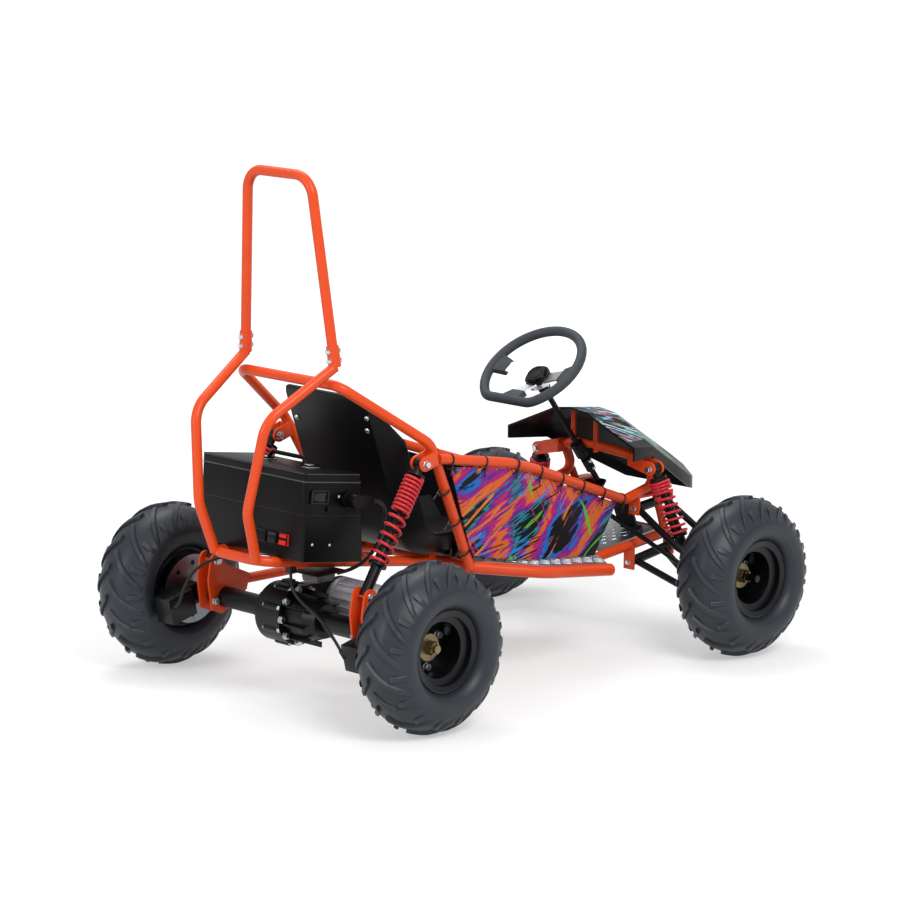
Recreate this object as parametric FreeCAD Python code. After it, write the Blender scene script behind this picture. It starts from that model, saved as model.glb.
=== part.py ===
import FreeCAD, Part
import math
import os

# Electric off-road buggy for a child, with an open tube frame. Millimetres.
# X points forward, Y to the left, Z up. The origin lies on the ground, midway between the axles.

# Running gear
WHEELBASE = 980.0
REAR_TRACK = 820.0
FRONT_TRACK = 790.0
TYRE_D = 360.0
TYRE_W = 145.0
LUG_H = 7.0
LUG_T = 14.0
LUG_PITCHES = 16
LUG_SWEEP = 1.15
SHOULDER_SWEEP = 0.2
SHOULDER_SHIFT = 0.1
AXLE_X = -WHEELBASE / 2
FRONT_X = WHEELBASE / 2
AXLE_Z = TYRE_D / 2
RIM_SEAT_D = 152.0
RIM_LIP_D = 172.0
RIM_DROP_D = 124.0
RIM_W = 104.0
RIM_WALL = 3.0
BEAD_W = 90.0
REAR_DISC_IN = 22.0
FRONT_DISC_IN = 34.0
WHEEL_DISC_T = 6.0
WHEEL_DISC_DISH = 4.0
WHEEL_DISC_CENTRE_D = 68.0
HUB_IN = 7.0
HUB_TUBE_D = 42.0
HUB_TUBE_L = 40.0
WHEEL_BOLTS = 4
WHEEL_BOLT_PHASE = 18.0
WHEEL_BOLT_PCD = 100.0
WHEEL_BOLT_D = 14.0
WHEEL_BOLT_H = 8.0
SPINDLE_D = 17.0
REAR_TIP_L = 8.0
FRONT_TIP_L = 30.0
NUT_D = 30.0
NUT_T = 18.0
NUT_WASHER_D = 57.0
NUT_WASHER_T = 5.0
PIN_PLAY = 0.4

# Steering
KINGPIN_Y = 300.0
KINGPIN_D = 26.0
KNUCKLE_ARM_L = 75.0
KNUCKLE_ARM_T = 8.0
BALL_D = 22.0
COLUMN_D = 13.0
COLUMN_TILT = 37.4
WHEEL_HUB_X = 223.6
WHEEL_HUB_Z = 627.4
COLUMN_L = 367.0
COUPLER_AT = (285.0, 319.0)
COUPLER_D = 22.0
PITMAN_L = 50.0
PITMAN_T = 6.0
PITMAN_HALF_GAP = 14.0
GRIP_D = 22.0
STEERING_WHEEL_D = 260.0
STEERING_FLAT = 100.0
STEERING_CORNER_R = 35.0
SPOKE_T = 4.0
SPOKE_W = 34.0
SPOKE_DROP = 38.0
STEERING_HUB_D = 66.0
STEERING_HUB_T = 10.0
CAP_H = 14.0
PAD_L = 38.0
PAD_W = 52.0
PAD_T = 14.0
TIE_ROD_D = 11.0
TIE_BALL_Z = 191.0
COLLAR_D = 30.0
COLLAR_L = 36.0
COLUMN_BAR_D = 18.0
PEDAL_X = 470.0
PEDAL_TOP_Z = 322.0

# Tubes
FRAME_D = 22.0
SILL_D = 27.0
ARM_D = 16.0
PIVOT_TUBE_D = 22.0
SLEEVE_D = 27.0
SLEEVE_L = 44.0
PLATE_T = 5.0
BOLT_D = 8.0
EAR_D = 30.0
EYE_PLAY = 0.3
BOLT_OUT = 8.0

# The lower frame lies in one plane that falls towards the front.
RAIL_Z = 240.0
RAIL_SLOPE = -0.137


def rail_z(x):
    """Height of the lower tubes' centre lines at a place along the car."""
    return RAIL_Z + RAIL_SLOPE * x


# Roll hoop and cage
HOOP_FOOT = (-504.0, 139.0, 728.0)
HOOP_CORNER = (-534.0, 96.0, 1121.0)
HOOP_BEND_R = 48.0
CAGE_TOP_BEND = (-669.0, 110.0, 628.0)
CAGE_LOW_BEND = (-690.0, 76.0, 436.0)
CAGE_FOOT_Y = 64.0
REAR_BAR_X = -656.0
CAGE_BEND_R = 70.0
SEAT_HOOP_CORNER = (-507.0, 153.0, 690.0)
SEAT_HOOP_SHOULDER = (-314.0, 227.0, 555.0)
SEAT_HOOP_FOOT_X = -158.0
SEAT_HOOP_FOOT_Y = 190.0
SEAT_HOOP_BEND_R = 55.0

# Lower rails, sills and side rails
RAIL_REAR_Y = 80.0
RAIL_FRONT_Y = 118.0
RAIL_REAR_BEND_R = 45.0
RAIL_BEND_X = 290.0
RAIL_FRONT_X = 545.0
RAIL_FRONT_Z = 229.0
SILL_BEND = (-6.0, 268.0)
SILL_END = (222.0, 246.0)
SILL_BEND_R = 90.0
FLOOR_CROSS_X = 150.0
SIDE_RAIL_REAR = (-296.0, 232.0, 522.0)
SIDE_RAIL_MID = (-95.0, 240.0, 489.0)
SIDE_RAIL_BEND = (5.0, 220.0, 460.0)
SIDE_RAIL_FRONT = (392.0, 124.0, 326.0)
SIDE_RAIL_BEND_R = 160.0
LOOP_Y = 128.0
LOOP_LOW = (392.0, 326.0)
LOOP_FRONT = (491.0, 349.0)
LOOP_TOP = (463.0, 410.0)
LOOP_END = (394.0, 35.0, 437.0)
LOOP_BEND_R = 24.0
LOOP_TOP_BEND_R = 30.0
COWL_STUB_D = 12.0

# Suspension arms
LOWER_PIVOT_REAR = (422.0, 177.0)
LOWER_PIVOT_FRONT = (547.0, 196.0)
LOWER_BALL_Z = 105.0
UPPER_PIVOT_REAR = (437.0, 298.0)
UPPER_PIVOT_FRONT = (541.0, 309.0)
UPPER_BALL_Z = 200.0
ARM_PIVOT_Y = 120.0
UPPER_ARM_BEND_R = 48.0
UPPER_BOW_W = 116.0
UPPER_EAR_RISE = 19.0
BALL_CUP_D = 32.0
BALL_CUP_T = 16.0

# Shock absorbers, top and bottom eyes
FRONT_SHOCK_TOP = (436.0, 176.0, 398.0)
FRONT_SHOCK_LOW = (FRONT_X, KINGPIN_Y - 38.0, LOWER_BALL_Z + 33.0)
REAR_SHOCK_TOP = (-343.0, 228.0, 517.0)
SHOCK_EYE_D = 24.0
SHOCK_EYE_L = 22.0
SPRING_D = 44.0
SPRING_WIRE_D = 6.5
DAMPER_D = 24.0
PISTON_D = 12.0
SPRING_SEAT_D = 40.0
SPRING_SEAT_T = 6.0
SHOCK_NECK_D = 18.0
DAMPER_IN = 60.0
REAR_SPRING = (30.0, 232.0)
REAR_COILS = 14
FRONT_SPRING = (28.0, 158.0)
FRONT_COILS = 9

# Rear axle
AXLE_TUBE_D = 45.0
AXLE_END_Y = REAR_TRACK / 2 - 102.0
DIFF_Y = 38.0
DIFF_D = 128.0
DIFF_W = 62.0
DIFF_BOLTS = 8
DIFF_RIB_T = 6.0
GEAR_DRUM_D = 98.0
GEAR_DRUM_END_D = 72.0
GEAR_DRUM_TAPER = 30.0
GEAR_DRUM_END_Y = -100.0
GEAR_FLANGE_D = 128.0
GEAR_FLANGE_T = 14.0
MOTOR_D = 100.0
MOTOR_L = 128.0
MOTOR_X = -372.0
MOTOR_Z = 196.0
MOTOR_FINS = 18
MOTOR_FIN_H = 5.0
BRACKET_Y = AXLE_END_Y - 67.0
BRACKET_GAP = 30.0
REAR_SHOCK_LOW = (AXLE_X - 25.0, BRACKET_Y, 263.0)
DISC_D = 152.0
DISC_T = 4.0
DISC_Y = REAR_TRACK / 2 - 77.0
DISC_HOLES = 8
DISC_HOLE_D = 11.0
CALIPER_GAP = 1.2
CALIPER_H = 58.0
CALIPER_TURN = -14.0
UNION = (AXLE_X - 110.0, DISC_Y - 71.0, 165.0)
UNION_D = 10.0
HOSE_D = 6.5
LEAD_D = 8.0
TRAIL_PIVOT = (-176.0, 142.0, 236.0)

# Seat
SEAT_TOP = (-408.0, 646.0)
SEAT_CORNER = (-287.0, 292.0)
SEAT_FRONT = (62.0, 288.0)
SEAT_POST_X = (-190.0, 30.0)
SEAT_POST_W = 20.0
SEAT_BEND_R = 92.0
SEAT_T = 10.0
SEAT_FLAT_W = 250.0
SEAT_WING_W = 62.0
SEAT_WING_ANGLE = 48.0

# Battery box
BOX_REAR_X = -615.0
BOX_L = 174.0
BOX_TOP_L = 158.0
BOX_LEAN = 16.0
BOX_W = 324.0
BOX_H = 185.0
BOX_LID_H = 18.0
BOX_R = 8.0
HANDLE_X = 80.0
SOCKET_X = 104.0
SOCKET_Z = 132.0
# columns of the controls on the rear face: middle, width, low edge, height, how far they stand out
REAR_CONTROLS = ((-33.0, 30.0, 27.0, 24.0, 3.0), (-70.0, 25.0, 28.0, 23.0, 5.0), (-105.0, 24.0, 28.0, 22.0, 6.0))

# Panels
PANEL_T = 3.0
PLATE_FLOOR_T = 3.0
COWL_T = 5.0


def vec(p):
    return FreeCAD.Vector(*p)


def mirror(shape):
    """The same shape on the other side of the car."""
    return shape.mirror(vec((0, 0, 0)), vec((0, 1, 0)))


def pair(shape):
    """A left piece and its mirror image, two solids that don't touch."""
    return [shape, mirror(shape)]


def solids(shapes):
    found = []
    for shape in shapes:
        found.extend(shape.Solids)
    return found


def join(shapes):
    """Solids that touch, as one solid without inner faces."""
    shapes = list(shapes)
    first = shapes[0]
    if len(shapes) == 1:
        return first
    return first.fuse(shapes[1:]).removeSplitter()


def corner_points(before, corner, after, radius):
    """Start, middle and end of the arc that rounds a corner of a path."""
    to_before = (before - corner).normalize()
    to_after = (after - corner).normalize()
    half = math.acos(max(-1.0, min(1.0, to_before.dot(to_after)))) / 2
    reach = radius / math.tan(half)
    middle_way = (to_before + to_after).normalize()
    centre = corner + middle_way * (radius / math.sin(half))
    return corner + to_before * reach, centre - middle_way * radius, corner + to_after * reach


def path_wire(points, radii):
    """Straight runs through the points, joined by tangent arcs of the given radii."""
    points = [FreeCAD.Vector(p) if isinstance(p, FreeCAD.Vector) else vec(p) for p in points]
    edges = []
    last = points[0]
    for index in range(1, len(points) - 1):
        start, middle, end = corner_points(points[index - 1], points[index], points[index + 1], radii[index - 1])
        edges.append(Part.LineSegment(last, start).toShape())
        edges.append(Part.Arc(start, middle, end).toShape())
        last = end
    edges.append(Part.LineSegment(last, points[-1]).toShape())
    return Part.Wire(edges)


def tube(points, diameter, radius=None):
    """A bent round tube; radius is one value for all corners or one for each."""
    corners = len(points) - 2
    radii = list(radius) if isinstance(radius, (list, tuple)) else [radius] * corners
    wire = path_wire(points, radii)
    start = wire.Edges[0]
    direction = start.tangentAt(start.FirstParameter)
    circle = Part.Circle(start.valueAt(start.FirstParameter), direction, diameter / 2)
    profile = Part.Wire([circle.toShape()])
    return wire.makePipeShell([profile], True, False)


def rod(start, end, diameter):
    start = vec(start) if isinstance(start, tuple) else start
    end = vec(end) if isinstance(end, tuple) else end
    return Part.makeCylinder(diameter / 2, (end - start).Length, start, end - start)


def bar_y(x, y_from, y_to, z, diameter):
    return Part.makeCylinder(diameter / 2, y_to - y_from, vec((x, y_from, z)), vec((0, 1, 0)))


def plate_xz(outline, y_from, y_to):
    """A flat plate across the car from an outline of (x, z) points."""
    points = [vec((x, y_from, z)) for x, z in outline]
    face = Part.Face(Part.makePolygon(points + points[:1]))
    return face.extrude(vec((0, y_to - y_from, 0)))


def ear(centre, foot, width, normal, thickness):
    """A bracket ear: a flat plate, round about its bolt, that runs straight down to its foot."""
    centre, foot, normal = vec(centre), vec(foot), vec(normal)
    side = (centre - foot).cross(normal).normalize() * (width / 2)
    points = [foot + side, centre + side, centre - side, foot - side]
    face = Part.Face(Part.makePolygon(points + points[:1]))
    head = Part.makeCylinder(width / 2, thickness, centre, normal)
    return face.extrude(normal * thickness).fuse(head).removeSplitter()


def ears_about(centre, foot, width, normal, gap):
    """Two such ears, one on each side of an eye that is narrower than the gap."""
    found = []
    for shift in (-gap / 2 - PLATE_T, gap / 2):
        move = vec(normal) * shift
        found.append(ear(tuple(vec(centre) + move), tuple(vec(foot) + move), width, normal, PLATE_T))
    return found


PARTS = {}


def keep(name, shapes):
    """Store the solids of one node; a solid may be given alone or in a list."""
    PARTS[name] = shapes if isinstance(shapes, list) else [shapes]


# Frame tubes

def seat_z(x):
    """Height of the seat pan's underside."""
    share = (x - SEAT_CORNER[0]) / (SEAT_FRONT[0] - SEAT_CORNER[0])
    return SEAT_CORNER[1] + share * (SEAT_FRONT[1] - SEAT_CORNER[1])


def rail_point(x, y, lift=0.0):
    return (x, y, rail_z(x) + lift)


def make_lower_frame():
    """One tube bent as a U at the back, with its two ends as the rails under the floor."""
    right_end = (RAIL_FRONT_X, -RAIL_FRONT_Y, RAIL_FRONT_Z)
    right_bend = rail_point(RAIL_BEND_X, -RAIL_FRONT_Y)
    right_back = rail_point(REAR_BAR_X, -RAIL_REAR_Y)
    left_back = rail_point(REAR_BAR_X, RAIL_REAR_Y)
    left_bend = rail_point(RAIL_BEND_X, RAIL_FRONT_Y)
    left_end = (RAIL_FRONT_X, RAIL_FRONT_Y, RAIL_FRONT_Z)
    bends = [120.0, RAIL_REAR_BEND_R, RAIL_REAR_BEND_R, 120.0]
    rails = tube([right_end, right_bend, right_back, left_back, left_bend, left_end], FRAME_D, bends)
    pieces = [rails]
    for x, half in ((SEAT_HOOP_FOOT_X, SEAT_HOOP_FOOT_Y), (RAIL_FRONT_X - 3, RAIL_FRONT_Y)):
        z = rail_z(x) if x < RAIL_BEND_X else RAIL_FRONT_Z
        pieces.append(bar_y(x, -half, half, z, FRAME_D))
    pieces.append(bar_y(FLOOR_CROSS_X, -SILL_END[1], SILL_END[1], rail_z(FLOOR_CROSS_X), FRAME_D))
    half = SEAT_POST_W / 2
    for x in SEAT_POST_X:
        spread = (x - REAR_BAR_X) / (RAIL_BEND_X - REAR_BAR_X)
        y = RAIL_REAR_Y + (RAIL_FRONT_Y - RAIL_REAR_Y) * spread
        outline = ((x - half, rail_z(x)), (x + half, rail_z(x)), (x + half, seat_z(x + half)), (x - half, seat_z(x - half)))
        pieces.append(plate_xz(outline, y - half, y + half))
        pieces.append(plate_xz(outline, -y - half, -y + half))
    return join(pieces)


def make_frame():
    lower = make_lower_frame()
    foot_z = rail_z(SEAT_HOOP_FOOT_X)
    left, right = 1, -1
    seat_points = []
    for side in (left, right):
        foot = (SEAT_HOOP_FOOT_X, side * SEAT_HOOP_FOOT_Y, foot_z)
        leg = [foot]
        leg.append((SEAT_HOOP_SHOULDER[0], side * SEAT_HOOP_SHOULDER[1], SEAT_HOOP_SHOULDER[2]))
        leg.append((SEAT_HOOP_CORNER[0], side * SEAT_HOOP_CORNER[1], SEAT_HOOP_CORNER[2]))
        seat_points.append(leg)
    points = seat_points[0] + seat_points[1][::-1]
    seat_hoop = tube(points, FRAME_D, [SEAT_HOOP_BEND_R, 34.0, 34.0, SEAT_HOOP_BEND_R])
    seat_hoop = seat_hoop.cut(lower)
    keep("seat_hoop", solids([seat_hoop])[:1])

    hoop_points = []
    for side in (left, right):
        leg = [(HOOP_FOOT[0], side * HOOP_FOOT[1], HOOP_FOOT[2])]
        leg.append((HOOP_CORNER[0], side * HOOP_CORNER[1], HOOP_CORNER[2]))
        hoop_points.append(leg)
    hoop = tube(hoop_points[0] + hoop_points[1][::-1], FRAME_D, HOOP_BEND_R)
    foot, corner = vec(HOOP_FOOT), vec(HOOP_CORNER)
    along = (corner - foot).normalize()
    sleeve = rod(foot, foot + along * SLEEVE_L, SLEEVE_D)
    bolts = []
    for height in (SLEEVE_L * 0.3, SLEEVE_L * 0.75):
        centre = foot + along * height
        reach = FreeCAD.Vector(SLEEVE_D / 2 + 5, 0, 0)
        bolts.append(rod(centre - reach, centre + reach, BOLT_D))
    side_set = join([sleeve] + bolts)
    hoop = join([hoop, side_set, mirror(side_set)])
    keep("roll_hoop", hoop)

    foot_cage = (REAR_BAR_X, CAGE_FOOT_Y, rail_z(REAR_BAR_X))
    points = [HOOP_FOOT, CAGE_TOP_BEND, CAGE_LOW_BEND, foot_cage]
    upright = tube(points, FRAME_D, CAGE_BEND_R)
    whole_seat_hoop = PARTS["seat_hoop"][0]
    upright = upright.cut(lower).cut(whole_seat_hoop).cut(hoop)
    upright = max(upright.Solids, key=lambda solid: solid.Volume)
    keep("cage_uprights", pair(upright))

    sill_points = [rail_point(SEAT_HOOP_FOOT_X, SEAT_HOOP_FOOT_Y - 12)]
    sill_points.append(rail_point(*SILL_BEND))
    sill_points.append(rail_point(*SILL_END))
    sill = tube(sill_points, SILL_D, SILL_BEND_R)
    sill = max(sill.cut(lower).cut(whole_seat_hoop).Solids, key=lambda solid: solid.Volume)
    keep("sill_bars", pair(sill))

    side_rail = tube([SIDE_RAIL_REAR, SIDE_RAIL_MID, SIDE_RAIL_BEND, SIDE_RAIL_FRONT], FRAME_D, SIDE_RAIL_BEND_R)
    loop_points = [(x, LOOP_Y, z) for x, z in (LOOP_LOW, LOOP_FRONT, LOOP_TOP)] + [LOOP_END]
    loop = tube(loop_points, FRAME_D, [LOOP_BEND_R, LOOP_TOP_BEND_R])
    end = vec(LOOP_END)
    stub = rod(end - FreeCAD.Vector(0, 0, FRAME_D / 2 + 5), end + FreeCAD.Vector(0, 0, 120), COWL_STUB_D)
    shock_x, shock_y, shock_z = FRONT_SHOCK_TOP
    foot_y, foot_z = LOOP_Y - 14, shock_z + 14
    gap = SHOCK_EYE_L + 2 * EYE_PLAY
    shock_ears = ears_about(FRONT_SHOCK_TOP, (shock_x, foot_y, foot_z), EAR_D, (1, 0, 0), gap)
    width = gap + 2 * PLATE_T
    web = Part.makeBox(width, PLATE_T, EAR_D, vec((shock_x - width / 2, foot_y - PLATE_T, foot_z - EAR_D / 2)))
    reach = gap / 2 + PLATE_T + BOLT_OUT
    pin = rod((shock_x - reach, shock_y, shock_z), (shock_x + reach, shock_y, shock_z), BOLT_D)
    loop = join([loop, stub, web, pin] + shock_ears)
    side_rail = side_rail.cut(whole_seat_hoop).cut(loop)
    side_rail = max(side_rail.Solids, key=lambda solid: solid.Volume)
    keep("side_rails", pair(side_rail))
    keep("front_loops", pair(loop))
    keep("lower_frame", lower)


make_frame()

# Floor and panels

def make_floor():
    top = FRAME_D / 2 + 0.2
    half = SILL_BEND[1] - 4
    outline = ((-142.0, 178.0), (SILL_BEND[0], half), (SILL_END[0] - 6, SILL_END[1] - 4), (300.0, 132.0))
    points = [rail_point(x, y, top) for x, y in outline]
    points += [(x, -y, z) for x, y, z in reversed([rail_point(x, y, top) for x, y in outline])]
    face = Part.Face(Part.makePolygon([vec(p) for p in points] + [vec(points[0])]))
    plate = face.extrude(FreeCAD.Vector(-RAIL_SLOPE, 0, 1).normalize() * PLATE_FLOOR_T)
    for name in ("sill_bars", "seat_hoop", "lower_frame"):
        for solid in PARTS[name]:
            plate = plate.cut(solid)
    return max(plate.Solids, key=lambda solid: solid.Volume)


keep("floor_plate", make_floor())


def make_skid_plate():
    """Bright plate between the front rails, for the feet."""
    start = vec((RAIL_BEND_X + 30, 0, 0))
    rise = (RAIL_FRONT_Z - rail_z(RAIL_BEND_X)) / (RAIL_FRONT_X - RAIL_BEND_X)
    points = []
    for x, y in ((start.x, -1), (RAIL_FRONT_X - 20, -1), (RAIL_FRONT_X - 20, 1), (start.x, 1)):
        z = rail_z(RAIL_BEND_X) + rise * (x - RAIL_BEND_X) + FRAME_D / 2 + 0.2
        points.append(vec((x, y * (RAIL_FRONT_Y - 2), z)))
    face = Part.Face(Part.makePolygon(points + points[:1]))
    return face.extrude(FreeCAD.Vector(-rise, 0, 1).normalize() * PLATE_FLOOR_T)


keep("skid_plate", make_skid_plate())


def make_side_panel():
    """Flat sheet from just under the side rail to the floor."""
    # columns: top x, top y, top z, bottom x, bottom y, bottom z
    sections = (
        (-262.0, 236.0, 500.0, -168.0, 206.0, 292.0),
        (-95.0, 239.0, 475.0, -60.0, 212.0, 268.0),
        (5.0, 219.0, 446.0, 50.0, 204.0, 252.0),
        (366.0, 127.0, 322.0, 262.0, 160.0, 222.0),
    )
    inward = FreeCAD.Vector(0, -PANEL_T, 0)
    wires = []
    for tx, ty, tz, bx, by, bz in sections:
        top, low = vec((tx, ty, tz)), vec((bx, by, bz))
        wires.append(Part.makePolygon([top, low, low + inward, top + inward, top]))
    panel = Part.makeLoft(wires, True, True)
    return panel


def clear_of(shape, names):
    for name in names:
        for solid in PARTS[name]:
            shape = shape.cut(solid)
    return max(shape.Solids, key=lambda solid: solid.Volume)


panel = clear_of(make_side_panel(), ("side_rails", "seat_hoop", "lower_frame", "floor_plate", "sill_bars", "front_loops"))
keep("side_panels", pair(panel))


def make_cowl():
    """Arched hood: a thin shell, open below, with a short upright lip round its edge."""
    # columns: x, half width, low edge z, side z, crease half width, crease z, top z
    sections = (
        (346.0, 198.0, 428.0, 458.0, 52.0, 519.0, 526.0),
        (441.0, 167.0, 423.0, 446.0, 52.0, 508.0, 515.0),
        (568.0, 125.0, 355.0, 382.0, 46.0, 430.0, 436.0),
        (640.0, 102.0, 316.0, 344.0, 40.0, 387.0, 392.0),
        (699.8, 56.0, 300.0, 330.0, 26.0, 353.0, 357.0),
    )
    outer, inner = [], []
    for x, half, low, side, crease, crease_z, top in sections:
        ring = [(half, low), (half, side), (crease, crease_z), (0, top)]
        ring += [(-y, z) for y, z in reversed(ring[:3])]
        outer.append(Part.makePolygon([vec((x, y, z)) for y, z in ring + ring[:1]]))
        t = COWL_T
        ring = [(half - t, low - t), (half - t, side - t * 0.7), (crease - t * 0.4, crease_z - t), (0, top - t)]
        ring += [(-y, z) for y, z in reversed(ring[:3])]
        place = x - t if (x, half) == sections[-1][:2] else x
        inner.append(Part.makePolygon([vec((place, y, z)) for y, z in ring + ring[:1]]))
    shell = Part.makeLoft(outer, True, True)
    hollow = Part.makeLoft(inner, True, True)
    return shell.cut(hollow)


keep("cowl", make_cowl())
keep("front_loops", pair(clear_of(PARTS["front_loops"][0], ["cowl"])))

# Seat

def make_seat():
    """Moulded bucket: one C-shaped section swept down the back and forward along the pan."""
    top = vec((SEAT_TOP[0], 0, SEAT_TOP[1]))
    corner = vec((SEAT_CORNER[0], 0, SEAT_CORNER[1]))
    front = vec((SEAT_FRONT[0], 0, SEAT_FRONT[1]))
    wire = path_wire([top, corner, front], [SEAT_BEND_R])
    down = (corner - top).normalize()
    inward = FreeCAD.Vector(0, 1, 0).cross(down).normalize()
    if inward.x < 0:
        inward = inward * -1
    angle = math.radians(SEAT_WING_ANGLE)
    flat = SEAT_FLAT_W / 2
    wing_y = math.cos(angle) * SEAT_WING_W
    wing_n = math.sin(angle) * SEAT_WING_W
    shift_y = math.sin(angle) * SEAT_T
    shift_n = math.cos(angle) * SEAT_T
    half = [(flat, 0), (flat + wing_y, wing_n), (flat + wing_y - shift_y, wing_n + shift_n)]
    half.append((flat - math.tan(angle / 2) * SEAT_T, SEAT_T))
    outline = half + [(-y, n) for y, n in reversed(half)]
    points = [top + FreeCAD.Vector(0, y, 0) + inward * n for y, n in outline]
    profile = Part.makePolygon(points + points[:1])
    seat = wire.makePipeShell([profile], True, False)
    slope = 0.42
    top_z, wide = SEAT_TOP[1] + 5, flat + wing_y + 40
    for side in (1, -1):
        cut = [(side * 118.0, top_z), (side * wide, top_z), (side * wide, top_z - (wide - 118.0) / slope)]
        face = Part.Face(Part.makePolygon([vec((-520, y, z)) for y, z in cut + cut[:1]]))
        seat = seat.cut(face.extrude(FreeCAD.Vector(400, 0, 0)))
    return seat


seat = make_seat()
keep("seat", clear_of(seat, ("seat_hoop", "lower_frame")))

# Battery box, pitched with the frame

BOX_PITCH = math.degrees(math.atan(-RAIL_SLOPE))
BOX_FOOT = vec((BOX_REAR_X, 0, rail_z(BOX_REAR_X) + FRAME_D / 2 + 0.4))


def on_box(shape):
    """Move a shape drawn with the box's rear lower edge at the origin to its place."""
    shape = shape.copy()
    shape.rotate(vec((0, 0, 0)), vec((0, 1, 0)), BOX_PITCH)
    shape.translate(BOX_FOOT)
    return shape


def box_end(z, front):
    """Place of the box's front or rear face at a height; both lean back."""
    foot, top = (BOX_L, BOX_TOP_L - BOX_LEAN) if front else (0.0, -BOX_LEAN)
    return foot + (top - foot) * z / BOX_H


def box_slab(z_from, z_to, inset=0.0):
    """A level slice of the box, square at its corners."""
    outline = [(box_end(z_from, False) + inset, z_from), (box_end(z_from, True) - inset, z_from)]
    outline += [(box_end(z_to, True) - inset, z_to), (box_end(z_to, False) + inset, z_to)]
    return plate_xz(outline, inset - BOX_W / 2, BOX_W / 2 - inset)


def round_upright(slab, height):
    return slab.makeFillet(BOX_R, [e for e in slab.Edges if abs(e.BoundBox.ZLength - height) < 0.01])


def make_box():
    body_h = BOX_H - BOX_LID_H
    body = round_upright(box_slab(0, body_h), body_h)
    keep("battery_box", on_box(body))
    lid = round_upright(box_slab(body_h + 1, BOX_H), BOX_LID_H - 1)
    skirt = box_slab(body_h, body_h + 1, 3.0)
    keep("battery_lid", on_box(lid.fuse(skirt).removeSplitter()))
    top = BOX_H
    grip = [(HANDLE_X, -62.0, top), (HANDLE_X, -50.0, top + 18), (HANDLE_X, 50.0, top + 18)]
    grip.append((HANDLE_X, 62.0, top))
    handle = tube(grip, 9.0, 12.0)
    feet = []
    for side in (1, -1):
        feet.append(Part.makeBox(22, 20, 5, vec((HANDLE_X - 11, side * 64 - 10, top))))
    handle = join([handle] + feet)
    handle = handle.common(Part.makeBox(BOX_L, BOX_W, 60, vec((0, -BOX_W / 2, top))))
    keep("carry_handle", on_box(handle))
    side_y = -BOX_W / 2
    display = Part.makeBox(46, 4, 27, vec((4, side_y - 4, 123)))
    lock = Part.makeCylinder(6, 5, vec((56, side_y, 111)), vec((0, -1, 0)))
    socket = Part.makeCylinder(17, 12, vec((SOCKET_X, side_y, SOCKET_Z)), vec((0, -1, 0)))
    controls = [display, lock, socket]
    for y, wide, low, high, out in REAR_CONTROLS:
        face = box_end(low + high / 2, False)
        control = Part.makeBox(out + 6, wide, high, vec((face - out, y - wide / 2, low)))
        controls.append(control.cut(body))
    keep("box_controls", [on_box(shape) for shape in controls])
    plug = Part.makeCylinder(15, 26, vec((SOCKET_X, side_y - 12, SOCKET_Z)), vec((0, -1, 0)))
    elbow = Part.makeBox(46, 24, 26, vec((SOCKET_X, side_y - 38, SOCKET_Z - 13)))
    keep("battery_plug", on_box(join([plug, elbow])))


make_box()

# Rear axle, drive and brakes


def diff_details():
    """Ribs on the gear case's cover, and the lugs of the bolts round its joint."""
    cover, joint = DIFF_Y + DIFF_W / 2, DIFF_Y - DIFF_W / 2
    rim = DIFF_D / 2
    # columns: radius, place along the axle
    rib = ((20.0, cover + 30), (rim - 22, cover + 9), (rim - 5, cover - 6), (rim - 5, joint + 12), (20.0, joint + 12))
    points = [vec((AXLE_X + r, y, AXLE_Z - DIFF_RIB_T / 2)) for r, y in rib]
    rib = Part.Face(Part.makePolygon(points + points[:1])).extrude(FreeCAD.Vector(0, 0, DIFF_RIB_T))
    lug = bar_y(AXLE_X + rim - 3, joint - GEAR_FLANGE_T - 4, joint + 22, AXLE_Z, 15.0)
    details = []
    for index in range(DIFF_BOLTS):
        for shape, shift in ((rib, 0.0), (lug, 0.5)):
            copy = shape.copy()
            copy.rotate(vec((AXLE_X, 0, AXLE_Z)), vec((0, 1, 0)), (index + shift) * 360.0 / DIFF_BOLTS)
            details.append(copy)
    return details


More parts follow.
